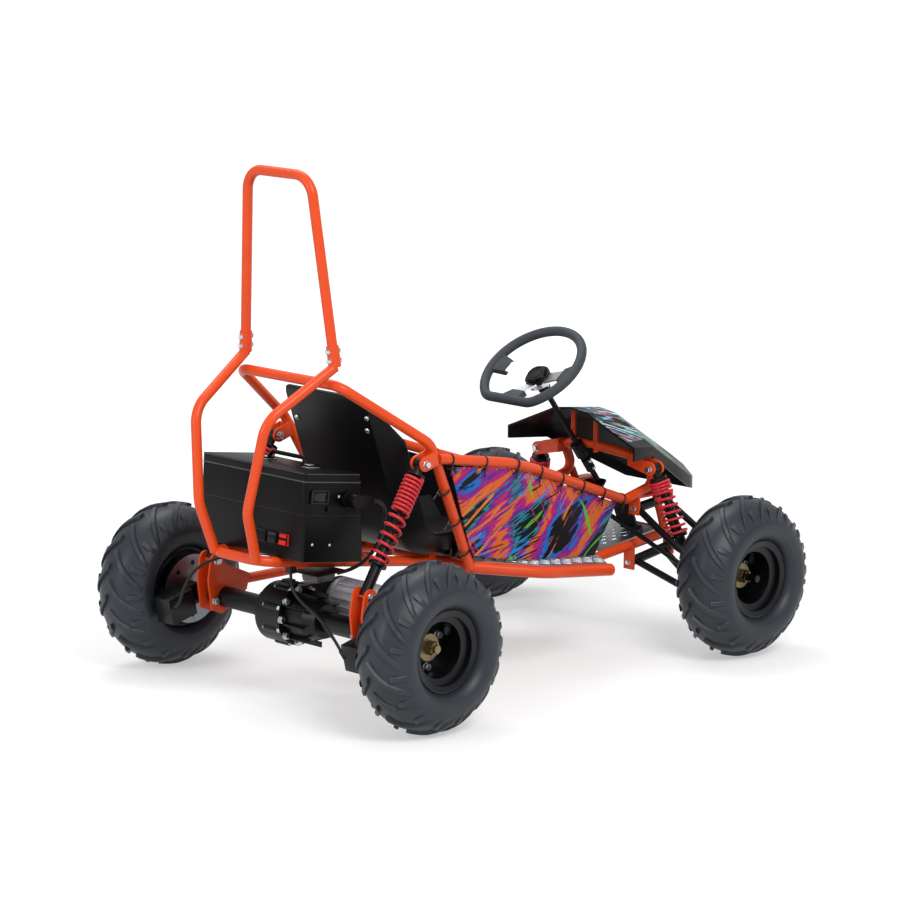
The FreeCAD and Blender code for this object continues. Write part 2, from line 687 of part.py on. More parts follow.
def make_axle():
    y_axis = vec((0, 1, 0))
    housing = bar_y(AXLE_X, GEAR_DRUM_END_Y, AXLE_END_Y, AXLE_Z, AXLE_TUBE_D)
    housing = housing.fuse(bar_y(AXLE_X, -AXLE_END_Y, GEAR_DRUM_END_Y, AXLE_Z, AXLE_TUBE_D)).removeSplitter()
    # columns of the case outline: place along the axle, radius
    case = (
        (DIFF_Y + DIFF_W / 2 + 28, AXLE_TUBE_D / 2),
        (DIFF_Y + DIFF_W / 2, DIFF_D * 0.40),
        (DIFF_Y + DIFF_W / 2 - 14, DIFF_D / 2),
        (DIFF_Y - DIFF_W / 2, DIFF_D / 2),
        (DIFF_Y - DIFF_W / 2, GEAR_FLANGE_D / 2),
        (DIFF_Y - DIFF_W / 2 - GEAR_FLANGE_T, GEAR_FLANGE_D / 2),
        (DIFF_Y - DIFF_W / 2 - GEAR_FLANGE_T, GEAR_DRUM_D / 2),
        (GEAR_DRUM_END_Y + GEAR_DRUM_TAPER, GEAR_DRUM_D / 2 - 3),
        (GEAR_DRUM_END_Y, GEAR_DRUM_END_D / 2),
        (GEAR_DRUM_END_Y, 0.0),
        (DIFF_Y + DIFF_W / 2 + 28, 0.0),
    )
    points = [vec((AXLE_X + r, y, AXLE_Z)) for y, r in case]
    face = Part.Face(Part.makePolygon(points + points[:1]))
    body = face.revolve(vec((AXLE_X, 0, AXLE_Z)), y_axis, 360)
    housing = join([housing, body] + diff_details())
    keep("axle_housing", housing)

    motor_y = DIFF_Y - DIFF_W / 2 - GEAR_FLANGE_T
    adapter_low = motor_y - 12
    link = FreeCAD.Vector(MOTOR_X - AXLE_X, 0, MOTOR_Z - AXLE_Z)
    side = FreeCAD.Vector(-link.z, 0, link.x).normalize()
    r_gear, r_motor = GEAR_FLANGE_D / 2, MOTOR_D / 2
    axle, motor_c = vec((AXLE_X, 0, AXLE_Z)), vec((MOTOR_X, 0, MOTOR_Z))
    outline = []
    for centre, radius, sign in ((axle, r_gear, 1), (motor_c, r_motor, 1), (motor_c, r_motor, -1), (axle, r_gear, -1)):
        point = centre + side * (radius * sign * 0.985)
        outline.append((point.x, point.z))
    adapter = join([
        plate_xz(outline, adapter_low, motor_y),
        bar_y(AXLE_X, adapter_low, motor_y, AXLE_Z, GEAR_FLANGE_D),
        bar_y(MOTOR_X, adapter_low, motor_y, MOTOR_Z, MOTOR_D),
    ])
    adapter = adapter.cut(housing)
    adapter = max(adapter.Solids, key=lambda solid: solid.Volume)
    keep("gearbox", adapter)

    motor_end = adapter_low - MOTOR_L
    core = bar_y(MOTOR_X, motor_end, adapter_low, MOTOR_Z, MOTOR_D - 2 * MOTOR_FIN_H)
    fins = []
    for index in range(MOTOR_FINS):
        fin = Part.makeBox(MOTOR_D / 2, MOTOR_L * 0.72, 2.5, vec((MOTOR_X, adapter_low - MOTOR_L * 0.86, MOTOR_Z - 1.25)))
        fin.rotate(motor_c, y_axis, index * 360.0 / MOTOR_FINS)
        fins.append(fin)
    reach = bar_y(MOTOR_X, motor_end, adapter_low, MOTOR_Z, MOTOR_D)
    bells = [bar_y(MOTOR_X, adapter_low - 14, adapter_low, MOTOR_Z, MOTOR_D)]
    bells.append(bar_y(MOTOR_X, motor_end, motor_end + 16, MOTOR_Z, MOTOR_D - 4))
    motor = join([core] + fins + bells).common(reach)
    motor = motor.cut(housing)
    keep("motor", max(motor.Solids, key=lambda solid: solid.Volume))


make_axle()


def make_axle_bracket():
    """Two orange gusset plates on the axle, with the shock absorber's eye between them."""
    inner = BRACKET_Y - BRACKET_GAP / 2 - PLATE_T
    outer = BRACKET_Y + BRACKET_GAP / 2
    sx, sz = REAR_SHOCK_LOW[0], REAR_SHOCK_LOW[2]
    outline = ((sx - 16, sz + 6), (sx - 24, sz - 40), (AXLE_X - 40, AXLE_Z - 24), (AXLE_X - 10, AXLE_Z - 36))
    outline += ((AXLE_X + 60, AXLE_Z + 8), (AXLE_X + 70, AXLE_Z + 42), (sx + 24, sz - 10), (sx + 16, sz + 6))
    plates = [plate_xz(outline, y, y + PLATE_T) for y in (inner, outer)]
    eyes = [bar_y(sx, y, y + PLATE_T, sz, EAR_D + 4) for y in (inner, outer)]
    web = plate_xz(((AXLE_X + 46, AXLE_Z + 6), (AXLE_X + 60, AXLE_Z + 8), (AXLE_X + 70, AXLE_Z + 42), (AXLE_X + 60, AXLE_Z + 45)), inner, outer)
    bracket = join(plates + eyes + [web])
    bolt = bar_y(sx, inner - 8, outer + PLATE_T + 8, sz, BOLT_D)
    bracket = join([bracket, bolt])
    return bracket.cut(bar_y(AXLE_X, 0, AXLE_END_Y, AXLE_Z, AXLE_TUBE_D))


bracket = make_axle_bracket()
keep("axle_brackets", pair(bracket))


def make_trailing_arm():
    start = vec((AXLE_X + 55, BRACKET_Y, AXLE_Z + 26))
    end = vec(TRAIL_PIVOT)
    arm = rod(start, end, FRAME_D)
    eye = bar_y(TRAIL_PIVOT[0], TRAIL_PIVOT[1] - 15, TRAIL_PIVOT[1] + 15, TRAIL_PIVOT[2], EAR_D)
    arm = join([arm, eye]).cut(bracket)
    return max(arm.Solids, key=lambda solid: solid.Volume)


keep("trailing_arms", pair(make_trailing_arm()))


# Suspension arms at the front

def pivot_axis(rear, front):
    return vec((rear[0], ARM_PIVOT_Y, rear[1])), vec((front[0], ARM_PIVOT_Y, front[1]))


def make_lower_arm():
    rear, front = pivot_axis(LOWER_PIVOT_REAR, LOWER_PIVOT_FRONT)
    along = (front - rear).normalize()
    cup_top = LOWER_BALL_Z + BALL_CUP_T / 2
    ball = vec((FRONT_X, KINGPIN_Y, LOWER_BALL_Z))
    barrel = rod(rear, front, PIVOT_TUBE_D)
    legs = [rod(rear + along * 16, ball, ARM_D), rod(front - along * 16, ball, ARM_D)]
    cup = Part.makeCylinder(BALL_CUP_D / 2, BALL_CUP_T, vec((FRONT_X, KINGPIN_Y, cup_top - BALL_CUP_T)))
    arm = join([barrel] + legs)
    trim = Part.makeBox(200, 200, 60, vec((FRONT_X - 100, KINGPIN_Y - 20, cup_top)))
    arm = arm.cut(trim)
    sx, sy, sz = FRONT_SHOCK_LOW
    cheeks = []
    for x_low in (sx - SHOCK_EYE_L / 2 - 0.4 - PLATE_T, sx + SHOCK_EYE_L / 2 + 0.4):
        cheek = Part.makeBox(PLATE_T, 28, 46, vec((x_low, sy - 14, sz - 34)))
        cheeks.append(cheek)
    cross = rod((sx - 22, sy, sz - 26), (sx + 22, sy, sz - 26), 12.0)
    bolt = rod((sx - 26, sy, sz), (sx + 26, sy, sz), BOLT_D)
    return join([arm, cup] + cheeks + [cross, bolt])


def make_upper_arm():
    rear, front = pivot_axis(UPPER_PIVOT_REAR, UPPER_PIVOT_FRONT)
    along = (front - rear).normalize()
    outer_z = UPPER_BALL_Z + 10
    outer_rear = vec((FRONT_X - UPPER_BOW_W / 2, KINGPIN_Y - 14, outer_z))
    outer_front = vec((FRONT_X + UPPER_BOW_W / 2, KINGPIN_Y - 14, outer_z))
    bow = tube([rear + along * 6, outer_rear, outer_front, front - along * 6], ARM_D, UPPER_ARM_BEND_R)
    barrel = rod(rear, front, PIVOT_TUBE_D)
    cup = Part.makeCylinder(BALL_CUP_D / 2, BALL_CUP_T, vec((FRONT_X, KINGPIN_Y, UPPER_BALL_Z)))
    return join([bow, barrel, cup])


lower_arm = make_lower_arm()
upper_arm = make_upper_arm()
keep("lower_arms", pair(lower_arm))
keep("upper_arms", pair(upper_arm))


def make_front_frame():
    """Posts between the front rails and the loops, cross tubes, and the ears of the arms."""
    rise = (RAIL_FRONT_Z - rail_z(RAIL_BEND_X)) / (RAIL_FRONT_X - RAIL_BEND_X)
    pieces = []
    loop_foot = vec((LOOP_FRONT[0] - 4, LOOP_Y, LOOP_FRONT[1]))
    rail_end = vec((RAIL_FRONT_X - 6, RAIL_FRONT_Y, RAIL_FRONT_Z))
    post = rod(rail_end, loop_foot, 18.0)
    pieces.append(post)
    ears = []
    wall = PLATE_T
    for x, z in (LOWER_PIVOT_REAR, LOWER_PIVOT_FRONT):
        rail = rail_z(RAIL_BEND_X) + rise * (x - RAIL_BEND_X)
        x_from = x - wall - 0.4 if x < FRONT_X else x + 0.4
        ears.append(Part.makeBox(wall, 30, rail - z + 16, vec((x_from, ARM_PIVOT_Y - 15, z - 16))))
    top = UPPER_PIVOT_FRONT[1] + UPPER_EAR_RISE
    strap_from, strap_to = UPPER_PIVOT_REAR[0] - wall - 0.4, UPPER_PIVOT_FRONT[0] + wall + 0.4
    for x_from, z in ((strap_from, UPPER_PIVOT_REAR[1]), (strap_to - wall, UPPER_PIVOT_FRONT[1])):
        ears.append(Part.makeBox(wall, 30, top - z + 14, vec((x_from, ARM_PIVOT_Y - 15, z - 14))))
    ears.append(Part.makeBox(strap_to - strap_from, 30, wall, vec((strap_from, ARM_PIVOT_Y - 15, top - wall))))
    return pieces[0], ears


half_front, arm_ears = make_front_frame()
front_half = join([half_front] + arm_ears)
front_half = front_half.cut(PARTS["lower_frame"][0])
for node in ("front_loops", "lower_arms", "upper_arms"):
    front_half = front_half.cut(PARTS[node][0])
keep("front_frame", [s for s in front_half.Solids] + [mirror(s) for s in front_half.Solids])


def make_rear_ears():
    """Trailing arm ears under the seat's cross tube, and the shock absorber ears on the seat hoop."""
    x, y, z = TRAIL_PIVOT
    foot = (SEAT_HOOP_FOOT_X, y, rail_z(SEAT_HOOP_FOOT_X))
    low = ears_about(TRAIL_PIVOT, foot, EAR_D, (0, 1, 0), SHOCK_EYE_L + 8 + 2 * EYE_PLAY)
    reach = SHOCK_EYE_L / 2 + 4 + EYE_PLAY + PLATE_T + BOLT_OUT
    low_pin = bar_y(x, y - reach, y + reach, z, BOLT_D)
    low_set = join(low + [low_pin])
    x, y, z = REAR_SHOCK_TOP
    gap = SHOCK_EYE_L + 2 * EYE_PLAY
    foot = (x + 34, y, z + 10)
    high = ears_about(REAR_SHOCK_TOP, foot, EAR_D, (0, 1, 0), gap)
    reach = gap / 2 + PLATE_T + BOLT_OUT
    high_pin = bar_y(x, y - reach, y + reach, z, BOLT_D)
    web = Part.makeBox(PLATE_T, gap + 2 * PLATE_T, EAR_D, vec((x + 26, y - gap / 2 - PLATE_T, z - 6)))
    high_set = join(high + [high_pin, web])
    return low_set, high_set


low_set, high_set = make_rear_ears()
ear_sets = []
for ear_set in (low_set, high_set):
    for node in ("lower_frame", "seat_hoop"):
        ear_set = ear_set.cut(PARTS[node][0])
    ear_set = max(ear_set.Solids, key=lambda solid: solid.Volume)
    ear_sets.extend(pair(ear_set))
keep("rear_ears", ear_sets)
trailing_arm = PARTS["trailing_arms"][0].cut(low_set)
keep("trailing_arms", pair(max(trailing_arm.Solids, key=lambda solid: solid.Volume)))

# Shock absorbers


def make_spring(spring_from, spring_to, coils):
    """Coil spring as one sleeve that has a ridge for each coil, drawn upright from the origin."""
    outer, inner = SPRING_D / 2, SPRING_D / 2 - SPRING_WIRE_D
    valley = inner + 1.5
    pitch = (spring_to - spring_from) / coils
    points = [vec((inner, 0, spring_from)), vec((valley, 0, spring_from))]
    for index in range(coils):
        low = spring_from + index * pitch
        # columns: radius, share of the pitch
        for radius, share in ((valley, 0.2), (outer, 0.38), (outer, 0.62), (valley, 0.8)):
            points.append(vec((radius, 0, low + share * pitch)))
    points += [vec((valley, 0, spring_to)), vec((inner, 0, spring_to))]
    face = Part.Face(Part.makePolygon(points + points[:1]))
    return face.revolve(vec((0, 0, 0)), vec((0, 0, 1)), 360)


def make_shock(top, low, eye_axis, spring_from, spring_to, coils, holders):
    """Damper with two eyes, and its coil spring between two seats."""
    top, low, eye_axis = vec(top), vec(low), vec(eye_axis)
    axis = (low - top).normalize()
    half_eye = eye_axis * (SHOCK_EYE_L / 2)
    pieces = [rod(top - half_eye, top + half_eye, SHOCK_EYE_D)]
    pieces.append(rod(low - half_eye, low + half_eye, SHOCK_EYE_D))
    pieces.append(rod(top, top + axis * spring_from, SHOCK_NECK_D))
    pieces.append(rod(top + axis * (spring_from - SPRING_SEAT_T), top + axis * spring_from, SPRING_SEAT_D))
    pieces.append(rod(top + axis * spring_from, top + axis * spring_to, PISTON_D))
    pieces.append(rod(top + axis * (spring_to - DAMPER_IN), low, DAMPER_D))
    pieces.append(rod(top + axis * spring_to, top + axis * (spring_to + SPRING_SEAT_T), SPRING_SEAT_D))
    damper = join(pieces)
    for holder in holders:
        damper = damper.cut(holder)
    damper = max(damper.Solids, key=lambda solid: solid.Volume)
    spring = make_spring(spring_from, spring_to, coils)
    spring.Placement = FreeCAD.Placement(top, FreeCAD.Rotation(vec((0, 0, 1)), axis))
    return damper, spring


damper, spring = make_shock(REAR_SHOCK_TOP, REAR_SHOCK_LOW, (0, 1, 0), *REAR_SPRING, REAR_COILS, [high_set, bracket])
keep("rear_dampers", pair(damper))
keep("rear_springs", pair(spring))
holders = [PARTS["front_loops"][0], lower_arm]
damper, spring = make_shock(FRONT_SHOCK_TOP, FRONT_SHOCK_LOW, (1, 0, 0), *FRONT_SPRING, FRONT_COILS, holders)
keep("front_dampers", pair(damper))
keep("front_springs", pair(spring))

# Wheels


def revolve_y(outline, x, y, side):
    """Turn an outline of (outward place, radius) points about a wheel's axle."""
    points = [vec((x + r, y + side * out, AXLE_Z)) for out, r in outline]
    face = Part.Face(Part.makePolygon(points + points[:1]))
    return face.revolve(vec((x, y, AXLE_Z)), vec((0, 1, 0)), 360)


def make_rim(x, y, side, disc_in):
    """Pressed steel rim: a stepped barrel, a dished disc inside it, a hub tube and bolts."""
    lip, seat, drop, wall = RIM_LIP_D / 2, RIM_SEAT_D / 2, RIM_DROP_D / 2, RIM_WALL
    half, bead = RIM_W / 2, BEAD_W / 2 + 0.5
    outside = [(-half, lip), (-half + wall, lip), (-bead, seat), (-bead + 12, seat), (-bead + 17, drop)]
    outside += [(-out, r) for out, r in reversed(outside)]
    inside = [(-half - 1, lip - wall), (-half, lip - wall), (-bead - wall, seat - wall)]
    inside += [(-bead + 11, seat - wall), (-bead + 15, drop - wall)]
    inside += [(-out, r) for out, r in reversed(inside)]
    filled = revolve_y(outside + [(half, 0), (-half, 0)], x, y, side)
    hollow = revolve_y(inside + [(half + 1, 0), (-half - 1, 0)], x, y, side)
    centre, low, thick = WHEEL_DISC_CENTRE_D / 2, -disc_in - WHEEL_DISC_DISH, WHEEL_DISC_T
    disc = [(-disc_in, 0), (-disc_in, centre), (low, centre + 5), (low, lip)]
    disc += [(low - thick, lip), (low - thick, centre + 2), (-disc_in - thick, centre - 3), (-disc_in - thick, 0)]
    disc = revolve_y(disc, x, y, side).common(filled)
    across = vec((0, side, 0))
    hub_start = vec((x, y - side * (HUB_IN + HUB_TUBE_L), AXLE_Z))
    tube_part = Part.makeCylinder(HUB_TUBE_D / 2, HUB_TUBE_L, hub_start, across)
    bore = Part.makeCylinder(SPINDLE_D / 2 + PIN_PLAY, HUB_TUBE_L, hub_start, across)
    bolts = []
    for index in range(WHEEL_BOLTS):
        angle = math.radians(WHEEL_BOLT_PHASE + 360.0 / WHEEL_BOLTS * index)
        bolt_x = x + math.cos(angle) * WHEEL_BOLT_PCD / 2
        bolt_z = AXLE_Z + math.sin(angle) * WHEEL_BOLT_PCD / 2
        start = vec((bolt_x, y + side * (low - 1), bolt_z))
        bolts.append(Part.makeCylinder(WHEEL_BOLT_D / 2, WHEEL_BOLT_H + 1, start, across))
    return join([filled.cut(hollow), disc, tube_part] + bolts).cut(bore)


# columns: share of the half width, share of the height above the bead seat
CARCASS = (
    (0.0, 1.0), (0.05, 1.0), (0.33, 0.975), (0.55, 0.897), (0.745, 0.778), (0.897, 0.66),
    (0.98, 0.557), (1.0, 0.443), (0.96, 0.31), (0.84, 0.196),
)
# columns of the two kinds of lug: share of the half width, height over the carcass in lug heights
LONG_LUG = ((0.03, 1.0), (0.36, 1.0), (0.62, 1.0), (0.82, 0.85), (0.95, 0.3))
SHOULDER_LUG = ((0.68, 0.9), (0.83, 0.85), (0.95, 0.3))


def carcass_radius(share):
    """Radius of the smooth tyre under the lugs at a share of its half width."""
    seat, crown = RIM_SEAT_D / 2, TYRE_D / 2 - LUG_H
    for (near, high), (far, low) in zip(CARCASS, CARCASS[1:]):
        if near <= share <= far:
            level = high + (low - high) * (share - near) / (far - near)
            return seat + (crown - seat) * level
    return seat


def make_lug(rows, side, sweep, angle):
    """A block across the tread: flat flanks that lean back towards the shoulder."""
    half = TYRE_W / 2
    middle = (rows[0][0] + rows[-1][0]) / 2
    top, foot = [], []
    for share, height in rows:
        back = -sweep * (share - middle) * half
        for ring, radius in ((top, carcass_radius(share) + height * LUG_H), (foot, carcass_radius(share) - 4)):
            corner = abs(back) + LUG_T / 2
            ring.append(vec((back - LUG_T / 2, side * share * half, math.sqrt(radius ** 2 - corner ** 2))))
    points = top + foot[::-1]
    lug = Part.Face(Part.makePolygon(points + points[:1])).extrude(vec((LUG_T, 0, 0)))
    lug.rotate(vec((0, 0, 0)), vec((0, 1, 0)), angle)
    return lug


def make_tyre():
    """Balloon tyre at the origin, with swept lugs and shoulder blocks, staggered left and right."""
    seat, half_bead, half = RIM_SEAT_D / 2 + 0.2, BEAD_W / 2 - 0.5, TYRE_W / 2
    outline = [(share * half, carcass_radius(share)) for share, height in CARCASS[1:]]
    outline += [(half_bead + 3.6, RIM_LIP_D / 2 + 2), (half_bead, seat)]
    outline = [(0, carcass_radius(0))] + outline + [(-out, r) for out, r in reversed(outline)]
    points = [vec((0, out, r)) for out, r in outline]
    face = Part.Face(Part.makePolygon(points + points[:1]))
    carcass = face.revolve(vec((0, 0, 0)), vec((0, 1, 0)), 360)
    pitch = 360.0 / LUG_PITCHES
    corner = LUG_SWEEP * (LONG_LUG[-1][0] - LONG_LUG[0][0]) / 2 * half + LUG_T / 2
    first = -math.degrees(math.asin(corner / (TYRE_D / 2)))
    lugs = []
    for index in range(LUG_PITCHES):
        for side, shift in ((1, 0.0), (-1, 0.5)):
            angle = first + (index + shift) * pitch
            lugs.append(make_lug(LONG_LUG, side, LUG_SWEEP, angle))
            lugs.append(make_lug(SHOULDER_LUG, side, SHOULDER_SWEEP, angle + SHOULDER_SHIFT * pitch))
    return carcass.fuse(lugs)


# columns: name, place along the car, distance between the pair, side, depth of the wheel's disc
WHEELS = (
    ("front_left", FRONT_X, FRONT_TRACK, 1, FRONT_DISC_IN),
    ("front_right", FRONT_X, FRONT_TRACK, -1, FRONT_DISC_IN),
    ("rear_left", AXLE_X, REAR_TRACK, 1, REAR_DISC_IN),
    ("rear_right", AXLE_X, REAR_TRACK, -1, REAR_DISC_IN),
)

tyre = make_tyre()
for name, wheel_x, track, side, disc_in in WHEELS:
    wheel_y = side * track / 2
    own_tyre = tyre.copy() if side > 0 else mirror(tyre)
    own_tyre.translate(vec((wheel_x, wheel_y, AXLE_Z)))
    keep("tyre_" + name, own_tyre)
    keep("rim_" + name, make_rim(wheel_x, wheel_y, side, disc_in))


def make_nut(x, y_face, side):
    """Washer and nut outside a hub, and the spindle's end."""
    across = vec((0, side, 0))
    washer = Part.makeCylinder(NUT_WASHER_D / 2, NUT_WASHER_T, vec((x, y_face, AXLE_Z)), across)
    points = []
    for index in range(7):
        angle = math.radians(60 * index)
        points.append(vec((x + NUT_D / 2 * math.cos(angle), y_face, AXLE_Z + NUT_D / 2 * math.sin(angle))))
    nut = Part.Face(Part.makePolygon(points)).extrude(vec((0, side * (NUT_WASHER_T + NUT_T), 0)))
    return [washer, nut]


def make_rear_hub(side):
    """Half shaft from the axle tube to the wheel, with the flange that carries the brake disc."""
    across = vec((0, side, 0))
    wheel_y = side * REAR_TRACK / 2
    start = side * (AXLE_END_Y + 0.5)
    hub_end = wheel_y - side * (HUB_IN - 0.1)
    shaft = Part.makeCylinder(SPINDLE_D / 2 + PIN_PLAY, abs(hub_end - start), vec((AXLE_X, start, AXLE_Z)), across)
    tip = Part.makeCylinder(SPINDLE_D / 2, NUT_WASHER_T + NUT_T + REAR_TIP_L, vec((AXLE_X, hub_end, AXLE_Z)), across)
    disc_face = side * (DISC_Y + DISC_T / 2)
    inner = wheel_y - side * (HUB_IN + HUB_TUBE_L + 0.1)
    flange = Part.makeCylinder(34, 6, vec((AXLE_X, disc_face, AXLE_Z)), across)
    spacer = Part.makeCylinder(18, abs(inner - disc_face), vec((AXLE_X, disc_face, AXLE_Z)), across)
    boss = Part.makeCylinder(16, abs(disc_face - start), vec((AXLE_X, start, AXLE_Z)), across)
    return join([shaft, tip, flange, spacer, boss] + make_nut(AXLE_X, hub_end, side))


def make_disc(side):
    face = side * (DISC_Y - DISC_T / 2)
    across = vec((0, side, 0))
    disc = Part.makeCylinder(DISC_D / 2, DISC_T, vec((AXLE_X, face, AXLE_Z)), across)
    holes = [Part.makeCylinder(16, 3 * DISC_T, vec((AXLE_X, face - side * DISC_T, AXLE_Z)), across)]
    for index in range(DISC_HOLES):
        angle = math.radians(360.0 / DISC_HOLES * index)
        centre = vec((AXLE_X + DISC_D * 0.38 * math.cos(angle), face - side * DISC_T, AXLE_Z + DISC_D * 0.38 * math.sin(angle)))
        holes.append(Part.makeCylinder(DISC_HOLE_D / 2, 3 * DISC_T, centre, across))
    return disc.cut(holes)


for name, side in (("left", 1), ("right", -1)):
    keep("rear_hub_" + name, make_rear_hub(side))
    keep("brake_disc_" + name, make_disc(side))


def make_caliper():
    """Caliper over the back edge of the disc: a cylinder inboard, a bridge and an outer jaw."""
    edge, low, slot = DISC_D / 2, AXLE_Z - CALIPER_H / 2, DISC_T / 2 + CALIPER_GAP
    # columns: inner radius, outer radius, inboard place, outboard place, all from the axle and the disc
    blocks = (
        (edge - 30, edge + 39, -62.0, -slot - 8),
        (edge - 26, edge + 12, -34.0, 16.0),
    )
    pieces = []
    for inner, outer, near, far in blocks:
        pieces.append(Part.makeBox(outer - inner, far - near, CALIPER_H, vec((AXLE_X - outer, DISC_Y + near, low))))
    pieces.append(Part.makeBox(edge + 4, 7, 44, vec((AXLE_X - edge - 12, DISC_Y - 34, AXLE_Z - 22))))
    gap = bar_y(AXLE_X, DISC_Y - slot, DISC_Y + slot, AXLE_Z, DISC_D + 2 * CALIPER_GAP)
    caliper = join(pieces).cut(gap)
    caliper.rotate(vec((AXLE_X, 0, AXLE_Z)), vec((0, 1, 0)), CALIPER_TURN)
    top = vec(UNION)
    union = rod(top, top + FreeCAD.Vector(0, 1, -1).normalize() * 20, UNION_D)
    return join([caliper, union]).cut(PARTS["axle_housing"][0])


caliper = make_caliper()
keep("brake_calipers", pair(caliper))

# Steering


def make_knuckle():
    """Kingpin post with the wheel's spindle and the steering arm, for the left side."""
    low = LOWER_BALL_Z + BALL_CUP_T / 2 + PIN_PLAY
    high = UPPER_BALL_Z - PIN_PLAY
    post = Part.makeCylinder(KINGPIN_D / 2, high - low, vec((FRONT_X, KINGPIN_Y, low)))
    wheel_y = FRONT_TRACK / 2
    outer = wheel_y - HUB_IN + PIN_PLAY
    inner = wheel_y - HUB_IN - HUB_TUBE_L - PIN_PLAY
    boss = bar_y(FRONT_X, KINGPIN_Y, inner, AXLE_Z, 30.0)
    spindle = bar_y(FRONT_X, KINGPIN_Y, outer + NUT_WASHER_T + NUT_T + FRONT_TIP_L, AXLE_Z, SPINDLE_D - 1)
    spindle = spindle.fuse(bar_y(FRONT_X, KINGPIN_Y, outer, AXLE_Z, SPINDLE_D))
    top = TIE_BALL_Z - BALL_D / 2 - PIN_PLAY
    arm = Part.makeBox(KNUCKLE_ARM_L, 24, KNUCKLE_ARM_T, vec((FRONT_X - KNUCKLE_ARM_L, KINGPIN_Y - 12, top - KNUCKLE_ARM_T)))
    end = Part.makeCylinder(12, KNUCKLE_ARM_T, vec((FRONT_X - KNUCKLE_ARM_L, KINGPIN_Y, top - KNUCKLE_ARM_T)))
    return join([post, boss, spindle, arm, end] + make_nut(FRONT_X, outer, 1))


knuckle = make_knuckle()
keep("knuckle_left", knuckle)
keep("knuckle_right", mirror(knuckle))

COLUMN_DOWN = vec((math.sin(math.radians(COLUMN_TILT)), 0, -math.cos(math.radians(COLUMN_TILT))))
COLUMN_REAR = vec((COLUMN_DOWN.z, 0, -COLUMN_DOWN.x))
WHEEL_HUB = vec((WHEEL_HUB_X, 0, WHEEL_HUB_Z))
LEFT = vec((0, 1, 0))
COLUMN_END = WHEEL_HUB + COLUMN_DOWN * COLUMN_L
TIE_INNER = COLUMN_END + COLUMN_REAR * PITMAN_L + COLUMN_DOWN * (BALL_D / 2 + 2 * PIN_PLAY)


def make_tie_rod():
    inner = TIE_INNER + LEFT * PITMAN_HALF_GAP
    outer = vec((FRONT_X - KNUCKLE_ARM_L, KINGPIN_Y, TIE_BALL_Z))
    balls = [Part.makeSphere(BALL_D / 2, point) for point in (inner, outer)]
    return join([rod(inner, outer, TIE_ROD_D)] + balls)


tie_rod = make_tie_rod()
keep("tie_rod_left", tie_rod)
keep("tie_rod_right", mirror(tie_rod))


def wheel_point(back, left, up=0.0):
    """A place on the steering wheel: towards the driver, to the left, and up off its plane."""
    return WHEEL_HUB + COLUMN_REAR * back + LEFT * left - COLUMN_DOWN * up


